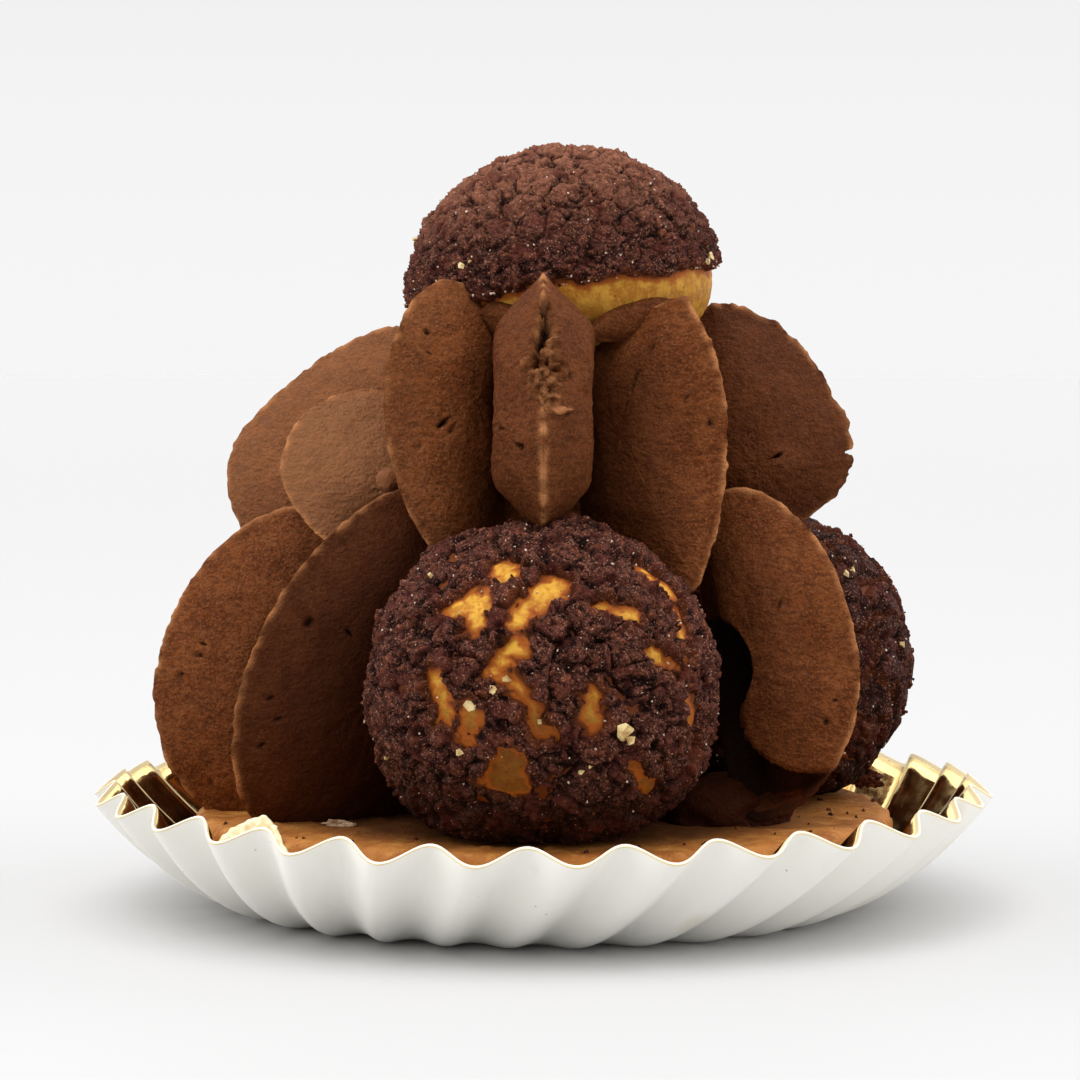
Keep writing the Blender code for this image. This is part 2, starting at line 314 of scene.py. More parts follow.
class Finish(NodeTree):
    """A material under construction, which starts as one colour. Sizes are in millimetres."""

    def __init__(self, name, colour, **inputs):
        self.material = bpy.data.materials.new(name)
        self.material.use_nodes = True
        super().__init__(self.material.node_tree)
        self.inputs = self.tree.nodes["Principled BSDF"].inputs
        for socket, value in inputs.items():
            self.inputs[socket.replace("_", " ")].default_value = value
        self.spot = self.add("ShaderNodeTexCoord").outputs["Object"]
        self.colour = colour

    def noise(self, size, detail=2.0, stretch=None):
        """Noise with swells of about this size, drawn out along an axis whose stretch is below 1."""
        spot = self.spot
        if stretch:
            spot = self.add("ShaderNodeMapping", {"Vector": spot, "Scale": stretch}).outputs["Vector"]
        made = self.add("ShaderNodeTexNoise", {"Vector": spot, "Scale": 1 / (size * MM), "Detail": detail})
        return made.outputs["Fac"]

    def patches(self, size, detail, low, high, stretch=None):
        """Noise, spread so that it is 0 up to low and 1 from high."""
        return self.between(self.noise(size, detail, stretch), low, high)

    def specks(self, size, near, far):
        """A round speck in each cell of this size: 1 up to near from its middle and 0 past far."""
        inputs = {"Vector": self.spot, "Scale": 1 / (size * MM)}
        distance = self.add("ShaderNodeTexVoronoi", inputs).outputs["Distance"]
        return self.between(distance, near, far, 1.0, 0.0)

    def tint(self, name):
        """The numbers that the piece keeps under this name."""
        return self.add("ShaderNodeAttribute", attribute_name=name).outputs["Fac"]

    def coat(self, colour, share, strength=1.0):
        """Lays a colour over the ones before it, as far as share times strength goes from 0 to 1."""
        self.colour = self.blend(self.times(share, strength), self.colour, colour)
        self.fill(self.inputs["Base Color"], self.colour)

    def rougher(self, value):
        self.fill(self.inputs["Roughness"], value)

    def relief(self, *layers):
        """Fine relief from (height, depth in millimetres) pairs, the broadest first."""
        normal = None
        for height, depth in layers:
            inputs = {"Height": height, "Distance": depth * MM, "Strength": 1.0}
            if normal is not None:
                inputs["Normal"] = normal
            normal = self.add("ShaderNodeBump", inputs).outputs["Normal"]
        self.fill(self.inputs["Normal"], normal)


# Painted shade: the dark pinholes in the cream.
CREAM_PINHOLE_SHADE = (0.030, 0.008, 0.003)
# Painted shade in the cream's dents, holes and fold.
CREAM_PIT_SHADE = (0.010, 0.003, 0.0015)
# Painted shade in the craquelin's hollows.
CRUST_HOLLOW_SHADE = (0.008, 0.0018, 0.0012)
# Painted shade at the craquelin's foot, which also stands for a darker baked underside.
CRUST_FOOT_BAKE_AND_SHADE = (0.016, 0.0045, 0.0034)
# A painted highlight: pale specks that stand in for sugar catching the light.
PAINTED_SUGAR_GLINT = (0.46, 0.25, 0.15)
# Painted shade in the choux's pores.
CHOUX_PORE_SHADE = (0.20, 0.055, 0.008)
CHOUX_BURNT = (0.085, 0.018, 0.004)
DISC_SPECK = (0.12, 0.035, 0.008)
CARD_STAIN = (0.76, 0.66, 0.50)
CARD_SPECK = (0.42, 0.30, 0.17)
SMEAR = ((0.22, 0.12, 0.06), (0.46, 0.31, 0.18))
NUT = ((0.42, 0.25, 0.08), (0.72, 0.56, 0.26))
SUGAR = ((0.50, 0.34, 0.24), (0.80, 0.66, 0.52))


def cream_finish(settings):
    """Whipped chocolate cream: matt, finely mottled, with lighter and warmer ridges and dark pits."""
    finish = Finish("chocolate_cream", settings.cream_dark, Specular_IOR_Level=0.06, Subsurface_Weight=0.08,
                    Subsurface_Radius=(1.0, 0.4, 0.2), Subsurface_Scale=0.4 * MM)
    strokes = finish.noise(0.8, 3.0, stretch=(1.0, 1.0, 1.6))
    tone_and_painted_light = finish.tint("tone_and_painted_light")
    finish.coat(settings.cream_colour, finish.patches(3.5, 4.0, 0.38, 0.62))
    finish.coat(settings.cream_light, finish.patches(0.26, 3.0, 0.42, 0.66), 0.5)
    # Painted shade in pinholes.
    finish.coat(CREAM_PINHOLE_SHADE, finish.specks(0.8, 0.08, 0.15), 0.6)
    finish.coat(settings.cream_warm, finish.patches(1.0, 4.0, 0.5, 0.66), 0.45)
    # Painted shade in the troughs of the strokes, whose relief comes from the same noise.
    finish.coat(settings.cream_painted_shade, finish.between(strokes, 0.52, 0.38), 0.4)
    # Painted light and painted shade: blades, the bead, the lips and the foot are painted paler or darker as
    # the light falls on them.
    finish.coat(settings.cream_painted_light, tone_and_painted_light, 0.6)
    finish.coat(settings.cream_painted_shade, tone_and_painted_light, -1.0)
    # A painted highlight along the ridges, which also gives freshly torn cream its lighter colour.
    finish.coat(settings.ridge_highlight_and_torn_colour, finish.tint("ridge"), 0.9)
    # Painted shade in dents and holes, and in the fold's recess.
    finish.coat(CREAM_PIT_SHADE, finish.tint("painted_pit_shade"))
    finish.rougher(finish.between(finish.noise(0.5), 0.3, 0.7, 0.5, 0.75))
    finish.relief((strokes, 0.28), (finish.noise(0.3, 3.0), 0.24))
    return finish.material


def crust_finish(settings):
    """Cocoa craquelin: dark and dry, redder in patches and by its cracks, with painted shade in its hollows
    and low down, sugary paler grain laid only on the crumb tops, partly as painted light, and pale sugar
    specks painted in as glinting sugar. The top bun's is painted paler where it faces up, as top light, and
    the right and left buns' darker all over."""
    finish = Finish("cocoa_craquelin", settings.crust_dark, Specular_IOR_Level=0.06)
    height, pale = finish.tint("height"), finish.tint("pale")
    finish.coat(settings.crust_colour, finish.patches(0.6, 4.0, 0.42, 0.60))
    finish.coat(settings.crust_warm, finish.between(finish.tint("tone_and_painted_light"), 0.55, 0.95))
    # Painted top light: the top bun's craquelin is painted paler where it faces up; the right and left buns'
    # is darker all over.
    finish.coat(settings.crust_pale, pale, 0.7)
    finish.coat(settings.crust_dark, pale, -1.0)
    # Painted shade: the low parts between the crumbs are darker.
    finish.coat(CRUST_HOLLOW_SHADE, finish.between(height, 0.15, 0.82, 1.0, 0.0))
    finish.coat(settings.crust_verge, finish.tint("verge"), 0.6)
    # Paler sugary grain, laid only on the crumb tops: partly the sugar's colour and partly painted light on
    # the tops.
    finish.coat(settings.crust_grain_and_lit_tops, finish.times(finish.patches(0.22, 2.0, 0.57, 0.66), height), 0.95)
    # Painted shade low down, which also stands for a darker baked underside.
    finish.coat(CRUST_FOOT_BAKE_AND_SHADE, finish.tint("low"), 0.8)
    finish.coat(settings.crust_maroon, finish.patches(2.4, 2.0, 0.5, 0.68), 0.6)
    # Painted highlight: pale specks standing in for sugar catching the light.
    painted_glints = finish.times(finish.specks(0.5, 0.10, 0.16), finish.patches(0.9, 0.0, 0.52, 0.60))
    finish.coat(PAINTED_SUGAR_GLINT, painted_glints)
    finish.rougher(finish.between(finish.noise(0.4, 1.0), 0.35, 0.65, 0.55, 0.9))
    finish.relief((finish.noise(0.45, 4.0), 0.3), (finish.noise(0.15), 0.12))
    return finish.material


def bun_finish(settings):
    """Baked choux: gold, browner in patches and where the crust bit into it, with painted shade low down and
    in its fine pores.
    """
    finish = Finish("choux_pastry", settings.bun_colour, Roughness=0.55, Specular_IOR_Level=0.1,
                    Subsurface_Weight=0.1, Subsurface_Radius=(1.0, 0.45, 0.15), Subsurface_Scale=0.8 * MM)
    pores = finish.specks(0.75, 0.08, 0.17)
    toasted = finish.tint("crust")
    finish.coat(settings.bun_brown, finish.patches(1.3, 4.0, 0.42, 0.60), 0.85)
    finish.coat(settings.bun_light, finish.patches(0.4, 3.0, 0.42, 0.7), 0.4)
    # Painted shade in the pores, which the relief sinks.
    finish.coat(CHOUX_PORE_SHADE, pores, 0.5)
    # Painted shade on the lower part of the choux.
    finish.coat(settings.bun_low_shade, finish.tint("low"), 0.85)
    finish.coat(settings.bun_toasted, finish.between(toasted, 0.05, 0.7))
    finish.coat(CHOUX_BURNT, finish.between(toasted, 0.7, 1.1))
    finish.relief((finish.noise(1.1, 3.0), 0.25), (finish.noise(0.3), 0.09), (pores, -0.08))
    return finish.material


def disc_finish(settings):
    """The baked pastry disc: gold to orange-brown, dry, with short paler strokes and dark specks, and
    painted shade that darkens it towards its middle, under the buns."""
    finish = Finish("baked_pastry", settings.disc_colour, Roughness=0.62, Specular_IOR_Level=0.2)
    finish.coat(settings.disc_brown, finish.patches(5.0, 3.0, 0.35, 0.65))
    finish.coat(settings.disc_light, finish.patches(1.0, 4.0, 0.5, 0.7, stretch=(0.75, 1.3, 1.0)), 0.55)
    finish.coat(DISC_SPECK, finish.specks(1.3, 0.07, 0.15), 0.6)
    # Painted shade towards the middle of the disc, under the buns.
    finish.coat(settings.disc_under_bun_shade, finish.tint("under_bun_shade"), 0.85)
    finish.relief((finish.noise(1.4, 3.0), 0.25), (finish.noise(0.35, 3.0), 0.1))
    return finish.material


def card_finish(settings):
    """White card: matt, faintly mottled, with a few specks, and a raw cream-yellow cut edge."""
    finish = Finish("white_card", settings.card_colour, Roughness=0.55, Specular_IOR_Level=0.35)
    finish.coat(settings.card_shade, finish.patches(9.0, 3.0, 0.35, 0.7), 0.5)
    finish.coat(CARD_STAIN, finish.patches(7.0, 1.0, 0.66, 0.76, stretch=(1.0, 1.0, 0.5)), 0.5)
    finish.coat(CARD_SPECK, finish.specks(3.4, 0.025, 0.045), 0.6)
    finish.coat(settings.edge_colour, finish.tint("cut_edge"))
    finish.relief((finish.noise(1.2, 4.0), 0.02), (finish.noise(0.2), 0.008))
    return finish.material


def foil_finish(settings):
    """Gold foil on the card: bright, with soft dents and the grain of the card under it."""
    finish = Finish("gold_foil", settings.foil_colour, Metallic=1.0)
    finish.coat(settings.foil_dark, finish.patches(4.0, 2.0, 0.35, 0.7))
    finish.rougher(finish.between(finish.noise(1.5, 3.0), 0.3, 0.7, 0.1, 0.24))
    finish.relief((finish.noise(3.0), 0.05), (finish.noise(0.5), 0.008))
    return finish.material


def crumb_finish(name, dark, light, size, roughness=0.6, **inputs):
    """A finish for loose bits: two colours, mottled in patches of about this size."""
    finish = Finish(name, dark, Roughness=roughness, **inputs)
    finish.coat(light, finish.patches(size, 3.0, 0.35, 0.65))
    finish.relief((finish.noise(size * 0.7, 3.0), 0.1))
    return finish.material


# ---------------------------------------------------------------- the card case

FLUTE_START = math.radians(3.9)  # where one flute stands furthest out at the rim
FLUTE_SWIRL = math.radians(-12)  # from the rim to the floor
CASE_CURVE = 1.85  # how the wall's height grows with its reach
FLOOR_SHARE = 0.62  # the flat floor's radius, of the rim's
FLUTE_FADE = 0.75  # how the flutes die away towards the floor: below 1 they stay deep for longer
CUT_ROUND = 0.1  # the rounding of the card's cut edge
TORN_PLACE = (-43.5, -30.5)  # azimuths between which the rim is torn
PLY_THICKNESS = 0.42


class Case:
    """The case's wall as a formula: share is 0 at the floor and 1 at the rim."""

    def __init__(self, settings):
        low, high = box_of("card_case")
        self.flutes = settings.flutes
        self.depth = settings.flute_depth / MM
        self.rim_radius = (high[0] - low[0]) / 2 - self.depth * 0.7
        self.rim_height = high[2] - self.depth * 0.7
        self.floor_radius = self.rim_radius * FLOOR_SHARE
        self.card = settings.card_thickness / MM

    def turns(self, steps):
        """Azimuths right round the case, so many to each flute."""
        count = self.flutes * steps
        return np.arange(count) / count * FULL_TURN

    def row(self, turns, share, under, lift=0.0):
        """One row of points round the wall, so far under its outer face."""
        reach = self.rim_radius - self.floor_radius
        slope = math.atan(self.rim_height * CASE_CURVE * share ** (CASE_CURVE - 1) / reach)
        around = np.stack((np.sin(turns), np.cos(turns), np.zeros_like(turns)), axis=1)
        deep = self.depth * (1 + 0.16 * swells(around, 0.35, 5)) * share ** FLUTE_FADE
        wave = np.cos(self.flutes * (turns - FLUTE_START)) * deep - under
        wave += 0.2 * share * swells(around, 0.25, 6)
        radius = self.floor_radius + reach * share + wave * math.sin(slope)
        height = self.rim_height * share ** CASE_CURVE - wave * math.cos(slope) + lift
        height += (0.35 - 0.3 * np.cos(turns) - 0.5 * np.cos(2 * turns)) * share ** 3
        azimuth = turns + FLUTE_SWIRL * (1.0 - share)
        across, back = radius * np.sin(azimuth), -radius * np.cos(azimuth)
        return np.stack((across, back, np.maximum(height, under)), axis=1)


def make_card(case, material):
    """The card, with its cut edge slightly rounded at the rim."""
    turns = case.turns(20)
    shares = np.append(np.linspace(0.0, 0.99, 24) ** 0.8, 1.0)
    rows = [case.row(turns, share, 0.0) for share in shares]
    for under in (CUT_ROUND, case.card - CUT_ROUND):
        rows.append(case.row(turns, 1.0, under, lift=0.06))
    rows += [case.row(turns, share, case.card) for share in shares[::-3]]
    cut = np.zeros(len(rows))
    cut[len(shares) - 1:len(shares) + 3] = (1.0, 0.35, 0.35, 1.0)
    points, faces = closed_rows(rows, (0.0, 0.0, 0.0), (0.0, 0.0, case.card))
    tints = {"cut_edge": np.append(np.repeat(cut, len(turns)), (0.0, 0.0))}
    add_piece("card_shell", points, faces, material, ["card_case"], tints)


def make_foil(case, material):
    """The foil is a thin skin on the card's inner face, from just under the rim."""
    turns = case.turns(16)
    shares = np.linspace(0.0, 0.985, 18)
    face, back = case.card + 0.07, case.card - 0.05
    rows = [case.row(turns, share, face) for share in shares]
    rows += [case.row(turns, share, back) for share in shares[::-3]]
    points, faces = closed_rows(rows, (0.0, 0.0, face), (0.0, 0.0, back))
    add_piece("foil_lining", points, [corners[::-1] for corners in faces], material)


def make_torn_ply(case, material):
    """Where the rim was torn at the front left, a frayed ply of the card stands up inside it."""
    columns, rows = 90, 14
    turns = np.linspace(*(math.radians(end) for end in TORN_PLACE), columns)
    along = np.linspace(0.0, 1.0, columns)
    seat = np.stack((along * 13.0, along * 0, along * 0), axis=1)
    crown = 1.1 * plateau(0.0, 0.25, 0.42, 0.60, along) + 0.6 * plateau(0.0, 0.08, 0.86, 1.0, along)
    crown += 0.45 * rough(seat, 1.3, 3, 11) * plateau(0.0, 0.1, 0.9, 1.0, along)
    root = case.row(turns, 0.97, case.card + 0.12)
    inward = -units(root * (1, 1, 0))
    sides = []
    for thickness in (0.0, PLY_THICKNESS):
        grid = []
        for share in np.linspace(0.0, 1.0, rows):
            spot = root + inward * (thickness * (1 - 0.6 * share) + 0.6 * share ** 2)
            spot[:, 2] += crown * share
            grid.append(spot + inward * (0.16 * swells(spot, 0.8, 21))[:, None])
        sides.append(np.array(grid))
    outer, inner = sides
    points = np.concatenate((outer, inner[::-1])).reshape(-1, 3)
    faces = grid_faces(2 * rows, columns, False).tolist()
    last = 2 * rows - 1
    faces += [(i, i + 1, last * columns + i + 1, last * columns + i) for i in range(columns - 1)]
    for column in (0, columns - 1):
        for row in range(rows - 1):
            ends = (row, last - row, last - row - 1, row + 1)
            corners = [end * columns + column for end in ends]
            faces.append(corners if column == 0 else corners[::-1])
    add_piece("frayed_ply", points, faces, material)


# ---------------------------------------------------------------- the pastry disc


# The disc's underside: share of its radius, and height in millimetres.
DISC_UNDERSIDE = ((0.3, 0.0), (0.74, 0.0), (0.9, 1.4), (0.975, 2.6), (1.0, 4.0))
DISC_EDGE = 1.3  # the rounding of its upper edge


def make_disc(material):
    """The disc, which thins towards its rim from below and has a rounded upper edge."""
    low, high = box_of("pastry_base")
    radius = (high[0] - low[0]) / 2
    thick = high[2] - low[2]
    flat, shoulder = radius - DISC_EDGE, thick - DISC_EDGE
    profile = [(radius * share, height) for share, height in DISC_UNDERSIDE]
    profile += [(radius + 0.1, thick * 0.62), (radius, shoulder)]
    for turn in np.linspace(0.0, math.pi / 2, 6)[1:]:
        profile.append((flat + DISC_EDGE * math.cos(turn), shoulder + DISC_EDGE * math.sin(turn)))
    profile += [(flat * (1 - i / 50), thick) for i in range(1, 50)]
    points, faces = turned([(reach, low[2] + height) for reach, height in profile], 300)
    heights = 0.16 * rough(points, 5.0, 3, 3) + 0.07 * rough(points, 0.9, 2, 7) - 0.08
    nearest, _, tag = lumps(points, 1.6, 9)
    heights -= 0.28 * (tag > 0.8) * smooth_step(0.38, 0.2, nearest)
    points = points + normals_of(points, faces) * heights[:, None]
    points[:, 2] = np.maximum(points[:, 2], low[2])
    reach = np.hypot(points[:, 0], points[:, 1]) + 1.5 * swells(points, 6.0, 13)
    # Painted shade: the disc darkens towards its middle, under the buns.
    tints = {"under_bun_shade": smooth_step(radius * 0.9, radius * 0.68, reach)}
    add_piece("pastry_disc", points, faces, material, ["pastry_base"], tints)


# ---------------------------------------------------------------- the buns and their craquelin

BELLY = 0.85  # 1 is a round underside, and less is a squarer one


def direction(azimuth, polar):
    """The direction at an azimuth from the front towards the right and an angle from straight up."""
    around, down = math.radians(azimuth), math.radians(polar)
    return np.array((math.sin(down) * math.sin(around), -math.sin(down) * math.cos(around), math.cos(down)))


def polar_of(aims):
    """The angle of each direction from straight up, in degrees."""
    return np.degrees(np.arccos(np.clip(aims[:, 2], -1, 1)))


class Bun:
    """A choux bun, placed and sized by its nodes in the frame. belly is the height of its widest level,
    as a share of the whole, and hem the polar angle where its craquelin ends. Its skins are finest on
    the side that it looks at, and cuts says how fine the choux and the craquelin are. tilt leans it to
    the left, in degrees. A shoulder is a swelling: its azimuth, polar angle, height as a share of the
    bun, and spread in degrees. A crack runs from one (azimuth, polar) place to another, and is so many
    millimetres wide each way; splits is the width of the random ones. rugged is how deep the
    craquelin's cracks are, fine how high its crumbs stand, and crumbs how large they are beside those of
    the front bun. pale is how far its craquelin is painted towards the paler colour where it faces up,
    as painted top light, or below zero how far it is darker all over, and base how much painted shade
    darkens the choux low down."""

    def __init__(self, name, belly, hem, looks_at, cuts, tilt=0.0, shoulders=(), cracks=(), splits=0.0,
                 rugged=1.0, fine=1.0, crumbs=1.0, pale=0.0, base=1.0):
        low, high = box_of("craquelin_" + name)
        self.name = name
        self.bottom = box_of("choux_" + name)[0][2]
        self.wide = (high[0] - low[0] + high[1] - low[1]) / 4
        level = self.bottom + belly * (high[2] - self.bottom)
        self.centre = np.append((low + high)[:2] / 2, level)
        self.above = high[2] - level - 0.3
        self.below = level - self.bottom + 1.8
        self.hem, self.cuts, self.tilt = hem, cuts, math.radians(tilt)
        self.looks_at = direction(*looks_at)
        self.shoulders, self.cracks, self.splits = shoulders, cracks, splits
        self.rugged, self.fine, self.crumbs = rugged, fine, crumbs
        self.pale, self.base = pale, base

    def skin(self, cuts):
        """Directions round the bun, closer together on the side it looks to, and the faces of its skin."""
        aims, faces = ball(cuts)
        return units(aims + 0.33 * self.looks_at), faces

    def surface(self, aims, inset=0.0):
        """The points of its outer skin in these directions, or of a skin so far under it."""
        up = aims[:, 2]
        across = np.sqrt(np.maximum(1 - up ** 2, 1e-9))
        under = up < 0
        wide = self.wide * np.where(under, across ** (BELLY - 1), 1.0)
        tall = np.where(under, self.below * np.maximum(-up, 1e-6) ** (BELLY - 1), self.above)
        swell = 1 + 0.018 * swells(aims + self.centre, 0.75, 2)
        for azimuth, polar, height, spread in self.shoulders:
            near = np.arccos(np.clip(aims @ direction(azimuth, polar), -1, 1))
            swell += height * np.exp(-(near / math.radians(spread)) ** 2)
        spots = aims * np.stack((wide, wide, tall), axis=1) * swell[:, None] - aims * inset
        cosine, sine = math.cos(self.tilt), math.sin(self.tilt)
        leaning = spots.copy()
        leaning[:, 0] = spots[:, 0] * cosine - spots[:, 2] * sine
        leaning[:, 2] = spots[:, 0] * sine + spots[:, 2] * cosine
        return leaning + self.centre

    def margin(self, aims, spots):
        """How far inside the craquelin's edge each spot is, in millimetres, and below zero in a crack and
        past its ragged hem. The edge follows the crumbs."""
        _, _, tag = lumps(spots, 1.1, 33)
        ragged = 0.6 * rough(spots, 2.4, 3, 31) + 0.9 * (tag - 0.5)
        frayed = 0.35 * rough(spots, 0.8, 2, 37)
        inside = np.radians(self.hem - polar_of(aims)) * self.wide
        inside = inside - 0.7 * ragged - 1.1 * swells(spots, 6.0, 35)
        for first, last, width in self.cracks:
            start, end = direction(*first), direction(*last)
            line = end - start
            along = np.clip((aims - start) @ line / max(line @ line, 1e-9), 0, 1)
            distance = np.linalg.norm(aims - start - along[:, None] * line, axis=1) * self.wide
            inside = np.minimum(inside, distance - 1.25 * width - 0.3 + 0.85 * ragged + frayed)
        if self.splits:
            _, border, _ = lumps(spots + 0.6 * ragged[:, None], 7.5, 41)
            wanted = self.splits * smooth_step(-0.1, 0.6, swells(spots, 9.0, 43))
            inside = np.minimum(inside, 6 * (border - wanted))
        return inside

    def cover(self, aims, spots):
        """Where the craquelin covers the bun: 1 on it, and 0 past its edge."""
        return smooth_step(-0.4, 0.4, self.margin(aims, spots))


FRONT_CRACKS = (
    ((-21, 39), (-16, 41), 0.95),
    ((-35, 56), (-26, 54), 1.15),
    ((-29, 56), (-25, 63), 0.8),
    ((7, 46), (-1, 50), 0.95),
    ((-1, 50), (-10, 61), 1.0),
    ((-10, 71), (-16, 79), 0.8),
    ((-16, 79), (-8, 85), 0.6),
    ((-8, 85), (-4, 92), 0.55),
    ((-4, 92), (0, 98), 0.65),
    ((-38, 83), (-34, 93), 0.85),
    ((-25, 94), (-26, 100), 0.75),
    ((-12, 107), (-19, 117), 0.85),
    ((-12, 108), (-10, 120), 1.0),
    ((-19, 118), (-10, 121), 0.8),
    ((60, 42), (70, 52), 0.75),
    ((63, 60), (61, 64), 0.5),
    ((61, 66), (55, 76), 0.5),
    ((21, 56), (36, 60), 0.55),
    ((37, 73), (52, 80), 0.5),
    ((16, 88), (17, 95), 0.75),
    ((56, 92), (60, 106), 0.55),
    ((32, 111), (44, 122), 0.45),
)


def all_buns():
    # pale is painted top light on the top bun and darker craquelin all over on the right and left; base is
    # how much painted shade lies low on each choux.
    return (
        Bun("front", 0.466, 164, (0, 80), (50, 116), cracks=FRONT_CRACKS, fine=0.8,
            shoulders=((-70, 32, 0.035, 16), (60, 24, 0.03, 15))),
        Bun("right", 0.46, 160, (70, 80), (32, 82), splits=0.08, rugged=0.8, fine=0.2, pale=-0.95),
        Bun("left", 0.46, 160, (-110, 80), (32, 72), splits=0.16, rugged=0.8, fine=0.4, pale=-0.3),
        Bun("top", 0.317, 87, (0, 40), (36, 116), tilt=7.0, rugged=0.5, fine=0.8, crumbs=0.85, pale=1.0,
            base=0.5),
    )


def make_bun(bun, settings, material):
    """The bun itself shows in the cracks and under the hem of its craquelin."""
    aims, faces = bun.skin(bun.cuts[0])
    spots = bun.surface(aims)
    points = bun.surface(aims, settings.crust_thickness / MM)
    heights = 0.16 * rough(points, 4.0, 3, 51) + 0.07 * swells(points, 0.9, 53)
    nearest, _, tag = lumps(points, 1.5, 55)
    heights -= 0.3 * (tag > 0.86) * smooth_step(0.36, 0.16, nearest)
    points = points + aims * heights[:, None]
    points[:, 2] = np.maximum(points[:, 2], bun.bottom)
    browned = smooth_step(-1.35, 0.15, bun.margin(aims, spots) + 0.4 * rough(points, 1.2, 2, 57))
    # low is painted shade on the lower part of the bun, less on the top bun.
    tints = {"crust": browned, "low": bun.base * smooth_step(80, 102, polar_of(aims))}
    add_piece("bun_" + bun.name, points, faces, material, ["choux_" + bun.name], tints)


def crumble(bun, spots, settings):
    """The craquelin's relief in millimetres, how high each spot is on its crumb, from 0 to 1, and a
    number from 0 to 1 for its crumb. Clods of several crumbs part along the deeper cracks."""
    size = settings.crumb_size / MM * bun.crumbs
    rugged, fine = bun.rugged, bun.fine
    warped = spots + 0.45 * np.stack([rough(spots, 1.5, 3, salt) for salt in (61, 63, 65)], axis=1)
    warped *= (1.0, 1.0, 1.25)
    _, seam, plate = lumps(warped, size * 3.8, 69)
    nearest, border, tag = lumps(warped, size, 67)
    _, fine_border, fine_tag = lumps(warped, size * 0.55, 71)
    clod = smooth_step(0.0, 0.16, seam)
    crumb = smooth_step(0.0, 0.3, border) * (0.3 + 0.7 * tag) * np.clip(1.15 - nearest ** 2, 0, 1)
    grain = smooth_step(0.0, 0.35, fine_border) * (0.4 + 0.6 * fine_tag)
    pits = rugged * smooth_step(0.4, 0.75, swells(spots, size * 1.3, 73))
    relief = rugged * (0.55 * clod + 0.6 * (plate - 0.5) + 0.4 * swells(spots, 4.0, 75) - 0.85)
    relief += fine * (0.42 * crumb + 0.22 * grain + 0.2 * rough(spots, 1.3, 3, 77)) - 0.55 * pits - 0.25
    level = 0.12 + 0.3 * clod + 0.42 * crumb + 0.28 * grain - 0.5 * pits
    return relief, np.clip(level, 0, 1), 0.5 * tag + 0.5 * fine_tag


def make_crust(bun, settings, material):
    """The craquelin is a lumpy skin that dips under the bun's own surface where it doesn't cover it."""
    aims, faces = bun.skin(bun.cuts[1])
    spots = bun.surface(aims)
    relief, level, tone_and_painted_light = crumble(bun, spots, settings)
    share = bun.cover(aims, spots)
    sunk = -settings.crust_thickness / MM - 1.2
    points = spots + aims * (sunk + (relief - sunk) * share)[:, None]
    jitter = np.stack([swells(spots, 1.0, salt) for salt in (141, 143, 145)], axis=1)
    points += 0.22 * bun.fine * share[:, None] * jitter
    points[:, 2] = np.maximum(points[:, 2], bun.bottom)
    # The top bun is painted paler where it faces up, as painted top light; the right and left buns are darker
    # all over.
    pale = smooth_step(0.2, 0.95, aims[:, 2]) if bun.pale > 0 else np.ones(len(points))
    tints = {
        "height": level,
        "tone_and_painted_light": tone_and_painted_light,
        "pale": bun.pale * pale,
        "verge": smooth_step(0.9, 0.0, bun.margin(aims, spots) + 0.5 * swells(spots, 0.9, 147)),
        # Painted shade on the craquelin's lower part, also a darker baked foot.
        "low": smooth_step(98, 140, polar_of(aims)),
    }
    node = "craquelin_" + bun.name
    add_piece("crust_" + bun.name, points, faces, material, [node], tints)


# ---------------------------------------------------------------- the piped cream

CURL_FALL = 1.5  # how a blade's curl gathers towards its foot
CURL_EDGE = 3  # and towards its ridge
HOOK_SHARE = 0.3  # how far a crescent's middle moves in with its tips
BLADE_THICK = 5.5  # from a blade's middle plane to its face, at most
MIDDLE_SWELL = 0.88  # how much of its full thickness a blade keeps at its middle
# The light ridge is a painted highlight.
RIDGE_WIDE = 0.42  # how far the light ridge reaches down a blade's faces


class Dent:
    """A dent in a blade's surface, or a scrap on it where sink is below zero: so many degrees round from
    the blade's outermost point, so far from its ridge, to the right where across is above zero, with its
    sizes along and across the ridge, all in millimetres. shade is how much painted shade darkens it, as
    the shade in a hole. A dent that is hardly shaded is freshly torn: rough, and light like a ridge."""

    def __init__(self, turn, across, along=0.35, wide=0.35, sink=0.9, shade=1.0):
        self.turn = math.radians(turn)
        self.across = across
        self.along, self.wide = along, wide
        self.sink, self.shade = sink, shade


class Fold:
    """Where a blade's face ends short of its ridge: it comes down to a round lobe, and a hollow bites
    into it from the cake's side. Past its end the cream lies this much deeper and is painted darker, as
    shade in the recess, most of all by the cake's side. Both are circles, given as how far out and up from
    the blade's hub, and their radius."""

    def __init__(self, side, lobe, hollow, depth):
        self.side = side
        self.lobe, self.hollow = lobe, hollow
        self.depth = depth

    def past(self, out, up):
        """1 at the places that lie past the end of the face and 0 on it, and how much painted shade each
        place gets.
        """
        lobe, hollow = (radius - np.hypot(out - x, up - z) for x, z, radius in (self.lobe, self.hollow))
        kept = np.minimum(np.maximum(lobe, up - self.lobe[1]), -hollow)
        return smooth_step(0.3, -0.35, kept), 0.25 + 0.72 * smooth_step(3.5, -3.0, out)


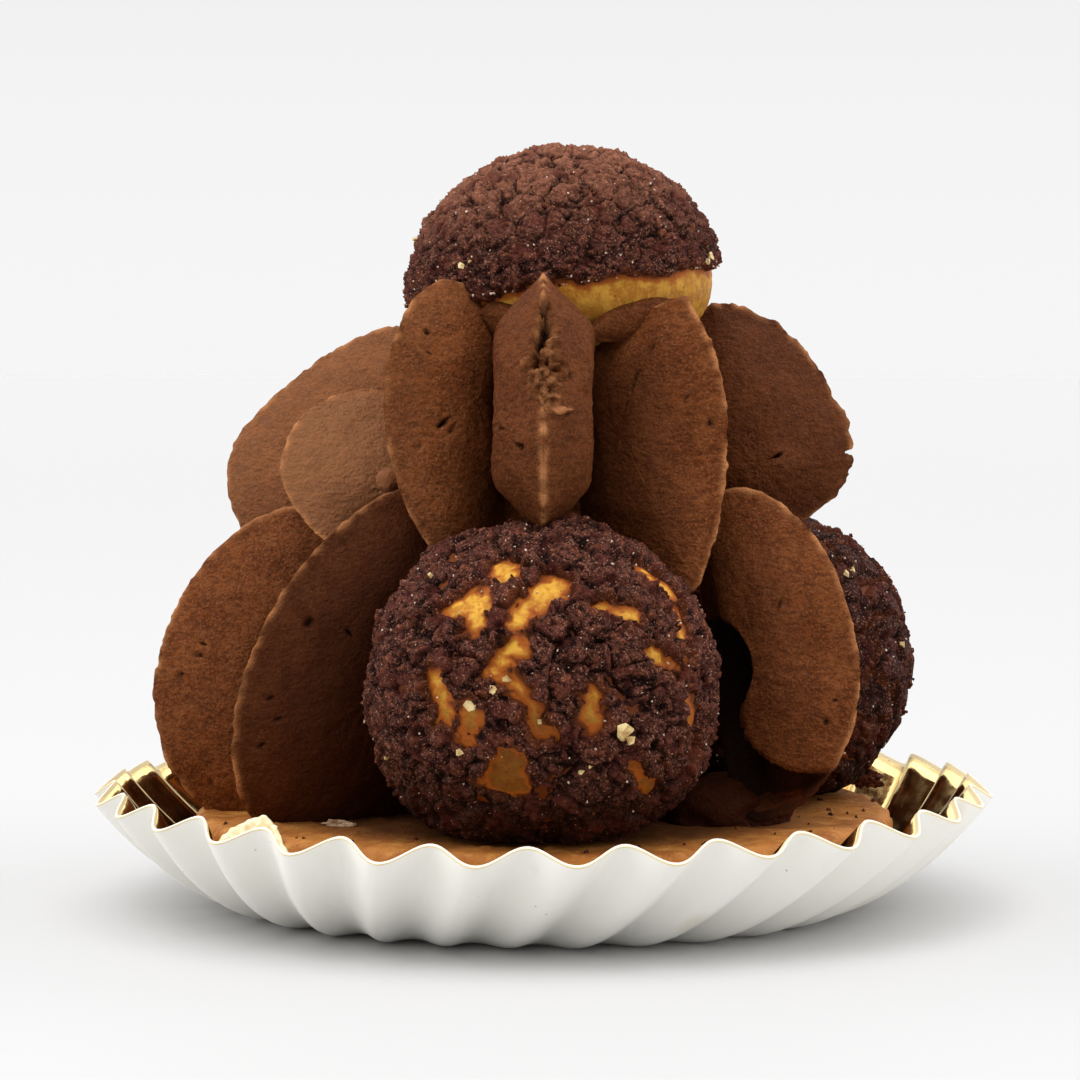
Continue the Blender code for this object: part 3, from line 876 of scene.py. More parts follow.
class Blade:
    """One piped blade of cream, on edge and pointing away from the cake's axis. reach is how far its
    ridge stands out and in from its hub, and rise how far up and down. tilt tips its top back, and yaw
    turns it from the axis, in degrees. The frame's node gives its place; tucked is how much of its top
    lies under the blade above, which the node leaves out. Its faces slope from the ridge to the full
    thickness at the bevel's depth, and turn there over a shoulder. curl carries its foot sideways, hook
    draws its two tips in like a crescent's, and lean moves its top back from its right-hand face, for each
    millimetre up. Its inner half is squarer where full is below 1, and its top comes to a point outwards
    where peak is above 0. tooth is how ragged its ridge is; torn says between which degrees, and how
    deep, the ridge is torn away. Its two painted-light numbers say how much paler its cream is painted at
    the ridge and further in, as painted light, and below zero how much darker, as painted shade. cuts are
    its squares round the ridge and from the ridge to its middle."""

    def __init__(self, name, azimuth, reach, rise, tilt, yaw=0.0, curl=0.0, hook=0.0, tucked=0.0, lean=0.0,
                 bevel=7.0, shoulder=0.6, full=1.0, peak=0.0, tooth=1.0, painted_light=(0.0, 0.0), dents=(),
                 fold=None, torn=None, cuts=(210, 27)):
        self.name = name
        self.outward, self.inward = reach
        self.up, self.down = rise
        self.tilt = math.radians(tilt)
        self.heading = math.radians(azimuth + yaw)
        self.curl, self.hook, self.lean = curl, hook, lean
        self.bevel, self.shoulder, self.tooth, self.painted_light = bevel, shoulder, tooth, painted_light
        self.full, self.peak = full, peak
        self.dents, self.fold, self.torn, self.cuts = dents, fold, torn, cuts
        self.middle = (self.outward - self.inward) / 2 - HOOK_SHARE * hook
        self.girth = (self.outward + self.up) / 2
        outline = self.leaned(*self.ridge(np.linspace(0, FULL_TURN, 721)))
        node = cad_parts["petal_" + name]
        corners = np.array([vertex.co for vertex in node.data.vertices]) / MM
        furthest = (corners @ facing(self.heading)).max()
        out = (furthest - outline[0].max()) / math.cos(math.radians(yaw))
        self.hub = out * facing(math.radians(azimuth))
        self.hub[2] = corners[:, 2].max() + tucked - outline[1].max()

    def ridge(self, turns):
        """The ridge's place at these turns round the hub: out from the hub, and up."""
        cosine, sine = np.cos(turns), np.sin(turns)
        reach = np.maximum(np.abs(cosine), 1e-9)
        outer = self.outward * reach ** (1 + self.peak * np.maximum(sine, 0) ** 3)
        out = np.where(cosine > 0, outer, -self.inward * reach ** self.full)
        return out - self.hook * sine ** 4, np.where(sine > 0, self.up, self.down) * sine

    def leaned(self, out, up):
        """Places in the blade's own plane once it is tipped back."""
        cosine, sine = math.cos(self.tilt), math.sin(self.tilt)
        return out * cosine - up * sine, out * sine + up * cosine

    def place(self, out, up, across):
        """World points from places in the blade's own plane and across it."""
        across = across - self.lean * up
        out, up = self.leaned(out, up)
        forward, sideways = facing(self.heading), facing(self.heading + math.pi / 2)
        return self.hub + out[:, None] * forward + across[:, None] * sideways + up[:, None] * (0, 0, 1)

    def ragged(self, turns, out, up):
        """How far the ridge stands proud of its even line: fine teeth, and seldom a deeper nick."""
        along = np.stack((out, up, np.full_like(out, 3.7 * self.heading)), axis=1)
        proud = self.tooth * (0.12 * swells(along, 0.7, 81) + 0.10 * swells(along, 1.9, 83))
        proud -= 0.2 * self.tooth * smooth_step(0.45, 0.8, swells(along, 1.2, 85))
        if self.torn:
            first, last, deep = self.torn
            inside = plateau(first - 4, first + 4, last - 4, last + 4, np.degrees(turns))
            proud -= inside * deep * (0.8 + 0.5 * rough(along, 1.1, 3, 87))
        return proud

    def face(self, turns, shares, side):
        """In-plane places, and how far across, of one face: shares is 0 at the ridge and 1 at the middle.
        The last of the four is the depth under the ridge."""
        out, up = self.ridge(turns)
        length = np.hypot(out - self.middle, up)
        depth = shares * length
        left = 1 - shares + self.ragged(turns, out, up) * np.exp(-(depth / 0.9) ** 2) / length
        share = depth / np.minimum(self.bevel, 0.85 * length)
        swell = rounded(share, self.shoulder) - rounded(0.0, self.shoulder) * np.maximum(0, 1 - share)
        swell += (MIDDLE_SWELL - swell) * smooth_step(0.45, 1.0, shares)
        bend = np.maximum(0, -np.sin(turns)) ** CURL_FALL * (1 - shares) ** CURL_EDGE
        across = side * BLADE_THICK * swell + self.curl * bend
        return self.middle + (out - self.middle) * left, up * left, across, depth


def rounded(share, shoulder):
    """share, held down to 1 at the most, with a smooth turn into the level part."""
    return (share + 1 - np.sqrt((share - 1) ** 2 + shoulder ** 2)) / 2


def all_blades():
    plain = {"cuts": (150, 20)}
    return (
        Blade(
            "upper_1", 0, (9.6, 12), (13.8, 14.2), 12, bevel=5.4, shoulder=0.16, tooth=0.5,
            torn=(-9, 46, 0.3), painted_light=(-0.4, -0.45), cuts=(300, 36), dents=(
                Dent(44, 0.2, 1.0, 0.6, 0.9, 0.7), Dent(33, 0.3, 1.5, 0.75, 1.6),
                Dent(25, -0.4, 1.4, 0.6, 1.3, 0.95), Dent(17, -0.9, 1.3, 0.4, 0.8, 0.8),
                Dent(30, 0.2, 2.6, 1.5, 0.7, 0.1), Dent(17, 0.3, 2.2, 2.0, 0.8, 0.2),
                Dent(6, 0.1, 2.0, 2.0, 0.7, 0.2), Dent(-3, 0.5, 1.5, 1.6, 0.5, 0.1),
                Dent(14, -1.9, 0.5, 0.5, -0.6, 0), Dent(8, -0.5, 0.35, 1.2, -0.6, 0),
                Dent(-4, 1.3, 0.35, 0.4, -0.4, 0), Dent(-11, 2.0, 0.45, 0.9, -0.8, 0),
                Dent(-13, 2.6, 0.2, 0.35, 0.5, 0.5), Dent(14, 0.5, 0.25, 0.3, 0.6, 0.6),
                Dent(3, 0.8, 0.2, 0.25, 0.6, 0.6), Dent(9, 2.9, 0.5, 0.16, 0.5, 0.7),
                Dent(-31, -2.4, 0.3, 0.35, 1.2), Dent(-25, -4.6, 0.3, 0.3, 0.4, 0.4))),
        Blade(
            "upper_2", -35, (8.6, 10), (13.2, 17.8), 3.5, yaw=-10, curl=4.5, hook=-0.6, full=0.6, peak=0.4,
            painted_light=(0.2, -0.25), dents=(
                Dent(-18, 6.0, 0.5, 0.4, 1.1), Dent(46, 2.8, 0.2, 0.3, 0.6),
                Dent(-24, 3.6, 0.4, 0.7, 0.25, 0.1), Dent(-28, 7.6, 0.6, 0.3, 0.4, 0.5),
                Dent(36, 3.6, 0.3, 0.25, 0.4, 0.6))),
        Blade(
            "upper_3", 42, (5.6, 17), (14.0, 17.5), 5.5, yaw=11, curl=-4.0, hook=-1.4, full=0.5, peak=0.9,
            tooth=1.3, painted_light=(-0.1, -0.55), dents=(
                Dent(2, -1.5, 0.25, 0.3, 0.4), Dent(94, -0.3, 0.5, 0.7, 0.6, 0.3),
                Dent(20, -3.4, 0.25, 0.3, 0.4, 0.5), Dent(-12, -2.6, 0.2, 0.25, 0.4, 0.5))),
        Blade("upper_4", -72, (12.2, 10), (10.8, 8.6), 13, curl=3.0, tooth=0.5, lean=0.4, painted_light=(1.1, 1.0)),
        Blade(
            "lower_1", -58, (16.0, 12), (23.8, 19.0), 16, tucked=1.1, tooth=0.8, lean=-0.28,
            painted_light=(-0.7, -0.95), dents=(
                Dent(18, 3.6, 0.5, 0.3, 1.0), Dent(28, 8.2, 0.35, 0.45, 0.8),
                Dent(42, 1.2, 0.3, 0.5, 0.6, 0.6), Dent(-12, 2.9, 0.3, 0.3, 0.6),
                Dent(-22, 4.0, 0.25, 0.25, 0.5), Dent(-32, 2.5, 0.3, 0.35, 0.6))),
        Blade(
            "upper_5", 86, (11.6, 10), (18.2, 8.2), 16, tooth=1.8, lean=-0.25, painted_light=(-0.6, -0.55), dents=(
                Dent(72, -10.0, 0.2, 0.5, 0.8), Dent(4, -8.6, 0.6, 0.75, 1.6),
                Dent(-12, 0.0, 0.6, 0.8, 0.8, 0))),
        Blade(
            "lower_2", 60, (8.9, 9.5), (19.4, 16.5), 13, curl=-3.5, hook=3.0, full=0.7, tooth=0.6, lean=-0.04,
            painted_light=(-0.1, -0.45), fold=Fold(-1, (4.2, -3.8, 8.0), (-7.3, -0.9, 5.5), 3.2), dents=(
                Dent(38, -7.2, 0.3, 0.7, 0.35, 0.7), Dent(-36, -3.0, 0.3, 0.3, 0.5),
                Dent(-24, -2.4, 0.25, 0.25, 0.5))),
        Blade("upper_6", -108, (14.3, 12), (23.0, 10.0), 36, lean=0.35, painted_light=(0.6, 0.5)),
        Blade(
            "lower_3", -86, (16.0, 12), (20.8, 17.6), 14, tooth=0.9, painted_light=(-0.05, -0.2), dents=(
                Dent(10, 4.5, 0.3, 0.35, 0.7), Dent(5, 4.6, 0.3, 0.3, 0.6), Dent(-6, 2.9, 0.3, 0.3, 0.5),
                Dent(-60, 3.0, 0.3, 0.6, 0.5, 0.6))),
        Blade("upper_7", 120, (11.5, 10), (14.5, 11.0), 14, **plain),
        Blade("upper_8", 153, (10.5, 10), (14.0, 14.0), 10, **plain),
        Blade("upper_9", -173, (10.8, 10), (13.5, 14.5), 12, curl=2.5, **plain),
        Blade("upper_10", -141, (11.5, 10), (14.5, 12.5), 14, **plain),
        Blade("lower_4", 160, (13.5, 10), (19.5, 18.0), 15, tucked=0.6, **plain),
        Blade("lower_5", -174, (14.0, 10), (20.0, 18.0), 17, tucked=2.3, **plain),
    )


def uneven_turns(count):
    """Turns round a blade, set closer together on its outer half than on the half inside the cake."""
    steps = np.arange(count) / count * FULL_TURN - math.pi
    return steps - 0.35 * np.sin(steps)


def piped_relief(girth, seat, turn, depth, side):
    """The relief of piped cream: soft waves, ribs by the ridge, strokes along the faces and a fine grain."""
    ribs = np.stack((turn * girth / 0.7, depth / 2.0, 9 * side), axis=1)
    strokes = np.stack((turn * girth / 3.0, depth / 0.9, 9 * side), axis=1)
    by_ridge = np.exp(-(depth / 3.5) ** 2) * smooth_step(0.2, 0.8, depth)
    heights = 0.16 * swells(seat, 6.5, 91) + 0.09 * swells(seat, 2.4, 92)
    heights += 0.07 * rough(ribs, 1.0, 2, 93) * by_ridge
    heights += 0.07 * rough(strokes, 1.0, 2, 94) * smooth_step(0.8, 2.5, depth)
    return heights + 0.075 * rough(seat * (1.0, 1.6, 1.0), 0.9, 2, 95)


def dented(blade, seat, turn, depth, side):
    """How deep the blade's dents are at each point, how much painted shade darkens them, and where its cream
    is freshly torn.
    """
    signed = depth * np.where(side < 0, -1, 1)
    dug, painted_pit_shade, fresh = np.zeros((3, len(turn)))
    for dent in blade.dents:
        along = (turn - dent.turn) * blade.girth / dent.along
        distance = np.hypot(along, (signed - dent.across) / dent.wide) + 0.35 * rough(seat, 0.55, 2, 97)
        inside = smooth_step(1.15, 0.6, distance)
        dug += inside * dent.sink
        painted_pit_shade = np.maximum(painted_pit_shade, inside * dent.shade)
        if dent.shade < 0.3:
            fresh = np.maximum(fresh, inside)
    # Torn cream gets painted shade in spots, as in small hollows.
    painted_pit_shade = np.maximum(painted_pit_shade, 0.7 * fresh * smooth_step(0.35, 0.75, rough(seat, 0.5, 2, 108)))
    return dug, painted_pit_shade, fresh


def make_blade(blade, material):
    """Both faces of a blade as one closed skin, with the relief of piped cream and its own marks."""
    columns, rows = blade.cuts
    turns = uneven_turns(columns)
    shares = np.linspace(0.0, 1.0, rows + 1)[:-1] ** 1.3
    bands = [(share, 1) for share in shares[:0:-1]] + [(0.0, 1)] + [(share, -1) for share in shares[1:]]
    rings = []
    for share, side in bands:
        values = (*blade.face(turns, np.full(columns, share), side), np.full(columns, side), turns)
        rings.append(np.stack(values, axis=1))
    ends = [(blade.middle, 0.0, ring[:, 2].mean(), 99.0, ring[0, 4], 0.0) for ring in (rings[0], rings[-1])]
    out, up, across, depth, side, turn = np.concatenate((*rings, ends)).T
    points = blade.place(out, up, across)
    faces = capped_grid(len(bands), columns)
    if is_inside_out(points, faces):
        faces = [face[::-1] for face in faces]

    seat = np.stack((out, up, across + 5 * blade.heading), axis=1)
    heights = piped_relief(blade.girth, seat, turn, depth, side)
    dug, painted_pit_shade, fresh = dented(blade, seat, turn, depth, side)
    past = np.zeros(len(points))
    if blade.fold:
        ragged = 0.25 * swells(seat, 1.5, 99)
        past, shade = blade.fold.past(*blade.leaned(out + ragged, up + ragged))
        folded = past * (side == blade.fold.side)
        heights -= blade.fold.depth * folded * (1 - np.exp(-(depth / 1.4) ** 2))
        # The recess past the fold gets painted shade.
        painted_pit_shade = np.maximum(painted_pit_shade, shade * folded)

    outwards = normals_of(points, faces)
    middle = blade.place(np.array([blade.middle]), np.zeros(1), np.zeros(1))
    by_ridge = np.exp(-(depth / 2.0) ** 2)[:, None]
    dig = units(middle - points) * by_ridge - outwards * (1 - by_ridge)
    points = points + outwards * heights[:, None] + dig * dug[:, None]
    jitter = np.stack([rough(seat, 0.8, 2, salt) for salt in (101, 103, 105)], axis=1)
    points += 0.25 * fresh[:, None] * jitter

    # Painted light and shade: the cream is painted paler where the blade stands in the light and darker where
    # it lies in shade, from the ridge inwards, and darker still past the fold, as painted shade in its
    # recess.
    ridge_painted_light, inner_painted_light = blade.painted_light
    tone_and_painted_light = ridge_painted_light + (inner_painted_light - ridge_painted_light) * smooth_step(1.5, 9.0, depth)
    # The ridge's painted highlight, broken at random, with freshly torn cream lighter too; it is left off
    # past the fold.
    highlight_breaks = 0.45 + 0.9 * swells(seat, 1.1, 98) + 0.4 * swells(seat, 4.0, 96)
    ridge = np.exp(-(depth / RIDGE_WIDE) ** 2) * highlight_breaks
    ridge = np.maximum(ridge, fresh * (0.4 + 0.5 * swells(seat, 0.6, 107))) * (1 - past)
    tints = {"ridge": np.clip(ridge, 0, 1), "painted_pit_shade": painted_pit_shade, "tone_and_painted_light": tone_and_painted_light - 0.75 * past}
    node = "petal_" + blade.name
    add_piece("blade_" + blade.name, points, faces, material, [node], tints)


def plain_tints(points, tone_and_painted_light=0.0):
    """Tints of cream that has no ridge highlight or painted shade of holes, and is painted this much paler
    than the rest as light, or below zero darker as shade.
    """
    return {"ridge": np.zeros(len(points)), "painted_pit_shade": np.zeros(len(points)), "tone_and_painted_light": np.full(len(points), tone_and_painted_light)}


# The mound's outline: share of the core's height, and of its radius.
MOUND = (
    (0, 0.93), (0.12, 0.99), (0.25, 1.0), (0.4, 0.98), (0.55, 0.95), (0.7, 0.92), (0.82, 0.9), (0.9, 0.88),
    (0.97, 0.86), (1.03, 0.82), (1.06, 0.72), (1.065, 0.4))


def make_mound(material):
    """The mound of cream in the middle, which shows only in slivers between the buns and the blades. Its
    top is pressed up round the underside of the top bun."""
    low, high = box_of("cream_core")
    radius = min(high[0] - low[0], high[1] - low[1]) / 2
    tall = high[2] - low[2]
    points, faces = turned([(radius * wide, low[2] + share * tall) for share, wide in MOUND], 120)
    points = points + normals_of(points, faces) * (0.35 * rough(points, 3.0, 3, 111) - 0.2)[:, None]
    add_piece("cream_mound", points, faces, material, ["cream_core"], plain_tints(points))


# ---------------------------------------------------------------- loose bits


def chip(draw, centre, outward, size, thick):
    """Points and faces of a small angular bit that lies on a surface facing outward."""
    outward = Vector(outward).normalized()
    side = outward.orthogonal().normalized()
    other = outward.cross(side)
    corners = draw.randint(4, 6)
    start = draw.uniform(0, FULL_TURN)
    points = []
    for layer, scale in ((-0.5, 0.8), (0.5, 0.75)):
        for i in range(corners):
            turn = start + FULL_TURN * (i + draw.uniform(-0.28, 0.28)) / corners
            reach = size / 2 * scale * draw.uniform(0.5, 1.35)
            lift = thick * (layer + draw.uniform(-0.15, 0.15))
            across = (side * math.cos(turn) + other * math.sin(turn)) * reach
            points.append(Vector(centre) + across + outward * lift)
    faces = [tuple(range(corners))[::-1], tuple(range(corners, 2 * corners))]
    for i in range(corners):
        after = (i + 1) % corners
        faces.append((i, after, corners + after, corners + i))
    return points, faces


def add_chips(name, chips, material):
    """One piece from many bits."""
    points, faces = [], []
    for some_points, some_faces in chips:
        start = len(points)
        points += some_points
        faces += [tuple(start + i for i in face) for face in some_faces]
    add_piece(name, [tuple(point) for point in points], faces, material, flat=True)


def on_crust(bun, azimuth, polar, settings):
    """A place on top of the craquelin and the direction out of it."""
    aim = direction(azimuth, polar)[None, :]
    spot = bun.surface(aim)
    relief, _, _ = crumble(bun, spot, settings)
    share = bun.cover(aim, spot)
    sunk = -settings.crust_thickness / MM
    height = sunk + (relief - sunk) * share
    return (spot + aim * height[:, None])[0], aim[0]


# (bun, azimuth, polar, size) of each flake of nut that shows on the craquelin.
FLAKES = (
    ("front", -59, 46, 0.75), ("front", -12, 82, 1.1), ("front", -16, 86, 1.2), ("front", -24, 91, 1.5),
    ("front", -28, 105, 0.9), ("front", -63, 109, 0.5), ("front", 26, 98, 2.0), ("front", 28, 100, 1.1),
    ("front", -1, 95, 0.75), ("front", 16, 110, 0.55), ("front", 13, 112, 0.7), ("top", -40, 75, 0.9),
    ("top", -36, 74, 0.45), ("top", 68, 83, 1.1), ("top", 64, 85, 0.7), ("top", -88, 62, 0.8),
    ("right", 43, 53, 1.2), ("right", 52, 51, 0.9), ("right", 68, 83, 1.0), ("right", 140, 70, 1.2),
    ("left", -120, 70, 1.2), ("left", -160, 88, 0.9), ("top", 170, 60, 1.0),
)


def sprinkle(draw, bun, settings, count, lift, sizes, depths):
    """Bits spread at random over a bun's craquelin, each leaning its own way."""
    chips = []
    for _ in range(count):
        azimuth, polar = draw.uniform(-180, 180), math.degrees(math.acos(draw.uniform(-0.7, 1)))
        spot, aim = on_crust(bun, azimuth, min(polar, bun.hem), settings)
        lean = [component + draw.uniform(-0.9, 0.9) for component in aim]
        chips.append(chip(draw, spot + aim * lift, lean, draw.uniform(*sizes), draw.uniform(*depths)))
    return chips


def make_loose_bits(buns, settings, flake, sugar, crumb):
    """The flakes of nut, the sugar grains, the crumbs on the buns and on the disc, and one curled crumb."""
    draw = random.Random(7)
    named = {bun.name: bun for bun in buns}
    flakes = []
    for name, azimuth, polar, size in FLAKES:
        spot, aim = on_crust(named[name], azimuth, polar, settings)
        lean = [component + draw.uniform(-0.25, 0.25) for component in aim]
        flakes.append(chip(draw, spot + aim * 0.25, lean, size * 1.15, 0.35))
    add_chips("nut_flakes", flakes, flake)
    grains, crumbs = [], []
    for bun in buns:
        grains += sprinkle(draw, bun, settings, settings.grains, 0.12, (0.16, 0.34), (0.12, 0.24))
        crumbs += sprinkle(draw, bun, settings, settings.crumbs, 0.1, (0.3, 0.6), (0.2, 0.4))
    add_chips("sugar_grains", grains, sugar)
    corner = box_of("pastry_base")[1]
    reach, top = corner[0], corner[2]
    for _ in range(70):
        turn, far = draw.uniform(0, FULL_TURN), reach * math.sqrt(draw.uniform(0.4, 0.98))
        spot = (far * math.cos(turn), far * math.sin(turn), top + 0.1)
        lean = (draw.uniform(-1, 1), draw.uniform(-1, 1), 1)
        crumbs.append(chip(draw, spot, lean, draw.uniform(0.25, 0.8), 0.35))
    add_chips("cocoa_crumbs", crumbs, crumb)
    points, faces = lump((38.0, 18.5, top + 0.7), (1.7, 1.0, 0.9), 21, 0.6)
    add_piece("curled_crumb", points, faces, crumb)


def lump(centre, radii, salt, wild=0.22, turn=0.0, slope=0.0):
    """Points and faces of one rounded irregular lump, turned to the left about its middle. slope is how
    much it rises along its first axis."""
    aims, faces = ball(20)
    points = aims * np.array(radii) * (1 + wild * rough(aims * 2 + salt, 1.0, 3, 121))[:, None]
    points[:, 2] += slope * points[:, 0]
    cosine, sine = math.cos(math.radians(turn)), math.sin(math.radians(turn))
    points[:, :2] = points[:, :2] @ np.array(((cosine, sine), (-sine, cosine)))
    return points + np.array(centre), faces


def make_cream_bits(cream, pale_cream):
    """A round bead of cream where two blades meet, the foot of cream that spreads on the disc beside the
    front bun, a pale smear of cream on the disc, and two lips of cream pressed against the top bun."""
    top = box_of("pastry_base")[1][2]
    top_bun = all_buns()[-1]
    left, right = (top_bun.surface(direction(*place)[None, :], 1.0)[0] for place in ((-23, 104), (25, 112)))
    # The sixth number of each is painted light: the bead is painted paler, and the foot and the lips darker,
    # as painted shade.
    for name, centre, radii, salt, wild, tone_and_painted_light, turn, slope, material in (
        ("cream_bead", (-16.7, -14.5, 47.8), (1.35, 1.35, 1.4), 3, 0.05, 0.8, 0, 0, cream),
        ("cream_foot", (19.8, -11.5, top + 1.2), (7.2, 6.0, 4.2), 5, 0.1, -1.0, 0, 0, cream),
        ("cream_smear", (-22.3, -16.0, top + 0.1), (1.7, 0.9, 0.5), 9, 0.4, 0.0, 0, 0, pale_cream),
        ("cream_lip_left", left, (3.8, 1.5, 2.1), 11, 0.06, -0.5, -23, -0.3, cream),
        ("cream_lip_right", right, (5.0, 1.6, 2.1), 13, 0.06, -0.4, 25, 0.25, cream),
    ):
        points, faces = lump(centre, radii, salt, wild, turn, slope)
        add_piece(name, points, faces, material, tints=plain_tints(points, tone_and_painted_light))


# ---------------------------------------------------------------- settings


def length(name, description, default, high):
    return bpy.props.FloatProperty(name=name, description=description, default=default * MM, min=0.0,
                                   max=high * MM, subtype="DISTANCE", unit="LENGTH", precision=5)


def number(name, description, default, low, high):
    return bpy.props.IntProperty(name=name, description=description, default=default, min=low, max=high)


def strength(name, description, default):
    return bpy.props.FloatProperty(name=name, description=description, default=default, min=0.0)


def paint(name, description, default):
    return bpy.props.FloatVectorProperty(name=name, description=description, default=default, size=3,
                                         min=0.0, max=1.0, subtype="COLOR")


class CaseSettings(bpy.types.PropertyGroup):
    flutes: number("Flutes", "Flutes round the rim", 31, 8, 60)
    flute_depth: length("Flute depth", "Out and in from the middle of the wall, at the rim", 1.4, 4.0)
    card_thickness: length("Card", "Thickness of the card", 0.4, 2.0)
    card_colour: paint("Card", "Colour of the white face", (0.94, 0.925, 0.865))
    card_shade: paint("Card, mottled", "Colour of its faint clouds", (0.90, 0.88, 0.80))
    edge_colour: paint("Cut edge", "Colour of the raw edge", (0.74, 0.58, 0.30))
    ply_colour: paint("Torn ply", "Colour of the frayed ply", (0.84, 0.78, 0.56))
    foil_colour: paint("Foil", "Colour of the foil", (0.86, 0.64, 0.28))
    foil_dark: paint("Foil, dull", "Colour of the foil where it is duller", (0.72, 0.52, 0.22))


class PastrySettings(bpy.types.PropertyGroup):
    crust_thickness: length("Craquelin", "Thickness of the craquelin", 1.4, 4.0)
    crumb_size: length("Crumbs", "Size of the craquelin's crumbs", 1.1, 4.0)
    grains: number("Sugar grains", "Sugar grains on each bun", 200, 0, 900)
    crumbs: number("Loose crumbs", "Loose crumbs on each bun", 90, 0, 900)
    crust_colour: paint("Craquelin", "Colour of its crumbs", (0.120, 0.040, 0.027))
    crust_dark: paint("Craquelin, dark", "Colour of its darker crumbs", (0.032, 0.0090, 0.0066))
    crust_warm: paint("Craquelin, warm", "Colour of its redder crumbs", (0.140, 0.038, 0.018))
    crust_maroon: paint("Craquelin, maroon", "Colour of its maroon patches", (0.080, 0.017, 0.012))
    # Paler sugary grain, partly painted light: it is laid only on the crumb tops.
    crust_grain_and_lit_tops: paint("Craquelin, sugary", "Colour of its paler grain", (0.36, 0.165, 0.105))
    crust_verge: paint("Craquelin, by cracks", "Colour where it thins out", (0.13, 0.032, 0.009))
    # Painted top light: the colour that the top bun's craquelin is painted towards where it faces up.
    crust_pale: paint("Craquelin, top bun", "Colour that the top bun's tends to", (0.32, 0.124, 0.070))
    bun_colour: paint("Choux", "Colour of the baked choux", (0.64, 0.33, 0.040))
    bun_brown: paint("Choux, browned", "Colour of its browner patches", (0.42, 0.155, 0.014))
    bun_toasted: paint("Choux, toasted", "Colour by the craquelin's edge", (0.34, 0.085, 0.010))
    # Painted shade: the colour that the choux is painted towards low down.
    bun_low_shade: paint("Choux, underside", "Colour that it tends to low down", (0.13, 0.030, 0.005))
    bun_light: paint("Choux, pale", "Colour of its paler grain", (0.72, 0.42, 0.065))
    disc_colour: paint("Disc", "Colour of the pastry disc", (0.42, 0.160, 0.032))
    disc_brown: paint("Disc, browned", "Colour of its browner patches", (0.28, 0.088, 0.016))
    # Painted shade on the disc under the buns.
    disc_under_bun_shade: paint("Disc, soaked", "Colour towards its middle, under the buns", (0.075, 0.022, 0.006))
    disc_light: paint("Disc, pale", "Colour of its paler strokes", (0.56, 0.28, 0.066))


class CreamSettings(bpy.types.PropertyGroup):
    cream_colour: paint("Cream", "Colour of the whipped cream", (0.168, 0.0490, 0.0127))
    cream_dark: paint("Cream, dark", "Colour of its darker mottling", (0.111, 0.0288, 0.0064))
    cream_light: paint("Cream, light", "Colour of its lighter grain", (0.29, 0.104, 0.036))
    cream_warm: paint("Cream, warm", "Colour of its redder patches", (0.190, 0.048, 0.011))
    # Painted light: the colour that the cream is painted towards where it stands in the light.
    cream_painted_light: paint("Cream, pale", "Colour that the palest blades tend to", (0.275, 0.122, 0.054))
    # Painted shade: the colour that the cream is painted towards where it lies in shade, and in the troughs
    # of its strokes.
    cream_painted_shade: paint("Cream, deep", "Colour that the darkest cream tends to", (0.040, 0.0095, 0.0030))
    # A painted highlight on the thin ridges, and the lighter colour of freshly torn cream.
    ridge_highlight_and_torn_colour: paint("Ridges", "Colour of the thin ridges", (0.48, 0.20, 0.075))


class StageSettings(bpy.types.PropertyGroup):
    floor_colour: paint("Floor", "Colour of the floor", (0.514, 0.511, 0.512))
    floor_far: paint("Floor, far off", "Colour of the floor by the horizon", (0.524, 0.522, 0.523))
    sky: strength("Sky", "Strength of the light from above", 2.2)
    side_sky: strength("Sides", "Strength of the light from each side", 2.0)
    lamp: strength("Lamp", "Power of the large lamp in watts", 1.2)


# ---------------------------------------------------------------- operators


class CAKE_OT_case(bpy.types.Operator):
    """Makes the card case, its foil lining and the frayed ply at its torn rim"""

    bl_idname = "cake.case"
    bl_label = "Card case"

    def execute(self, context):
        settings = context.scene.cake_case
        case = Case(settings)
        make_card(case, card_finish(settings))
        make_foil(case, foil_finish(settings))
        ply = crumb_finish("torn_ply", settings.edge_colour, settings.ply_colour, 0.8, 0.7)
        make_torn_ply(case, ply)
        return {"FINISHED"}


class CAKE_OT_disc(bpy.types.Operator):
    """Makes the pastry disc"""

    bl_idname = "cake.disc"
    bl_label = "Pastry disc"

    def execute(self, context):
        make_disc(disc_finish(context.scene.cake_pastry))
        return {"FINISHED"}


class CAKE_OT_buns(bpy.types.Operator):
    """Makes the four choux buns and their craquelin"""

    bl_idname = "cake.buns"
    bl_label = "Buns and craquelin"

    def execute(self, context):
        settings = context.scene.cake_pastry
        choux, craquelin = bun_finish(settings), crust_finish(settings)
        for bun in all_buns():
            make_bun(bun, settings, choux)
            make_crust(bun, settings, craquelin)
        return {"FINISHED"}


class CAKE_OT_cream(bpy.types.Operator):
    """Makes the mound of cream, its piped blades and the bits of cream beside them"""

    bl_idname = "cake.cream"
    bl_label = "Piped cream"

    def execute(self, context):
        cream = cream_finish(context.scene.cake_cream)
        make_mound(cream)
        for blade in all_blades():
            make_blade(blade, cream)
        make_cream_bits(cream, crumb_finish("pale_cream", *SMEAR, 0.9, 0.8))
        return {"FINISHED"}


class CAKE_OT_crumbs(bpy.types.Operator):
    """Scatters the flakes of nut, the sugar grains and the crumbs"""

    bl_idname = "cake.crumbs"
    bl_label = "Loose bits"

    def execute(self, context):
        settings = context.scene.cake_pastry
        flake = crumb_finish("nut_flake", *NUT, 0.8, 0.45)
        sugar = crumb_finish("sugar_grain", *SUGAR, 0.3, 0.25)
        crumb = crumb_finish("cocoa_crumb", settings.crust_dark, settings.crust_warm, 0.5, 0.8,
                             Specular_IOR_Level=0.1)
        make_loose_bits(all_buns(), settings, flake, sugar, crumb)
        return {"FINISHED"}


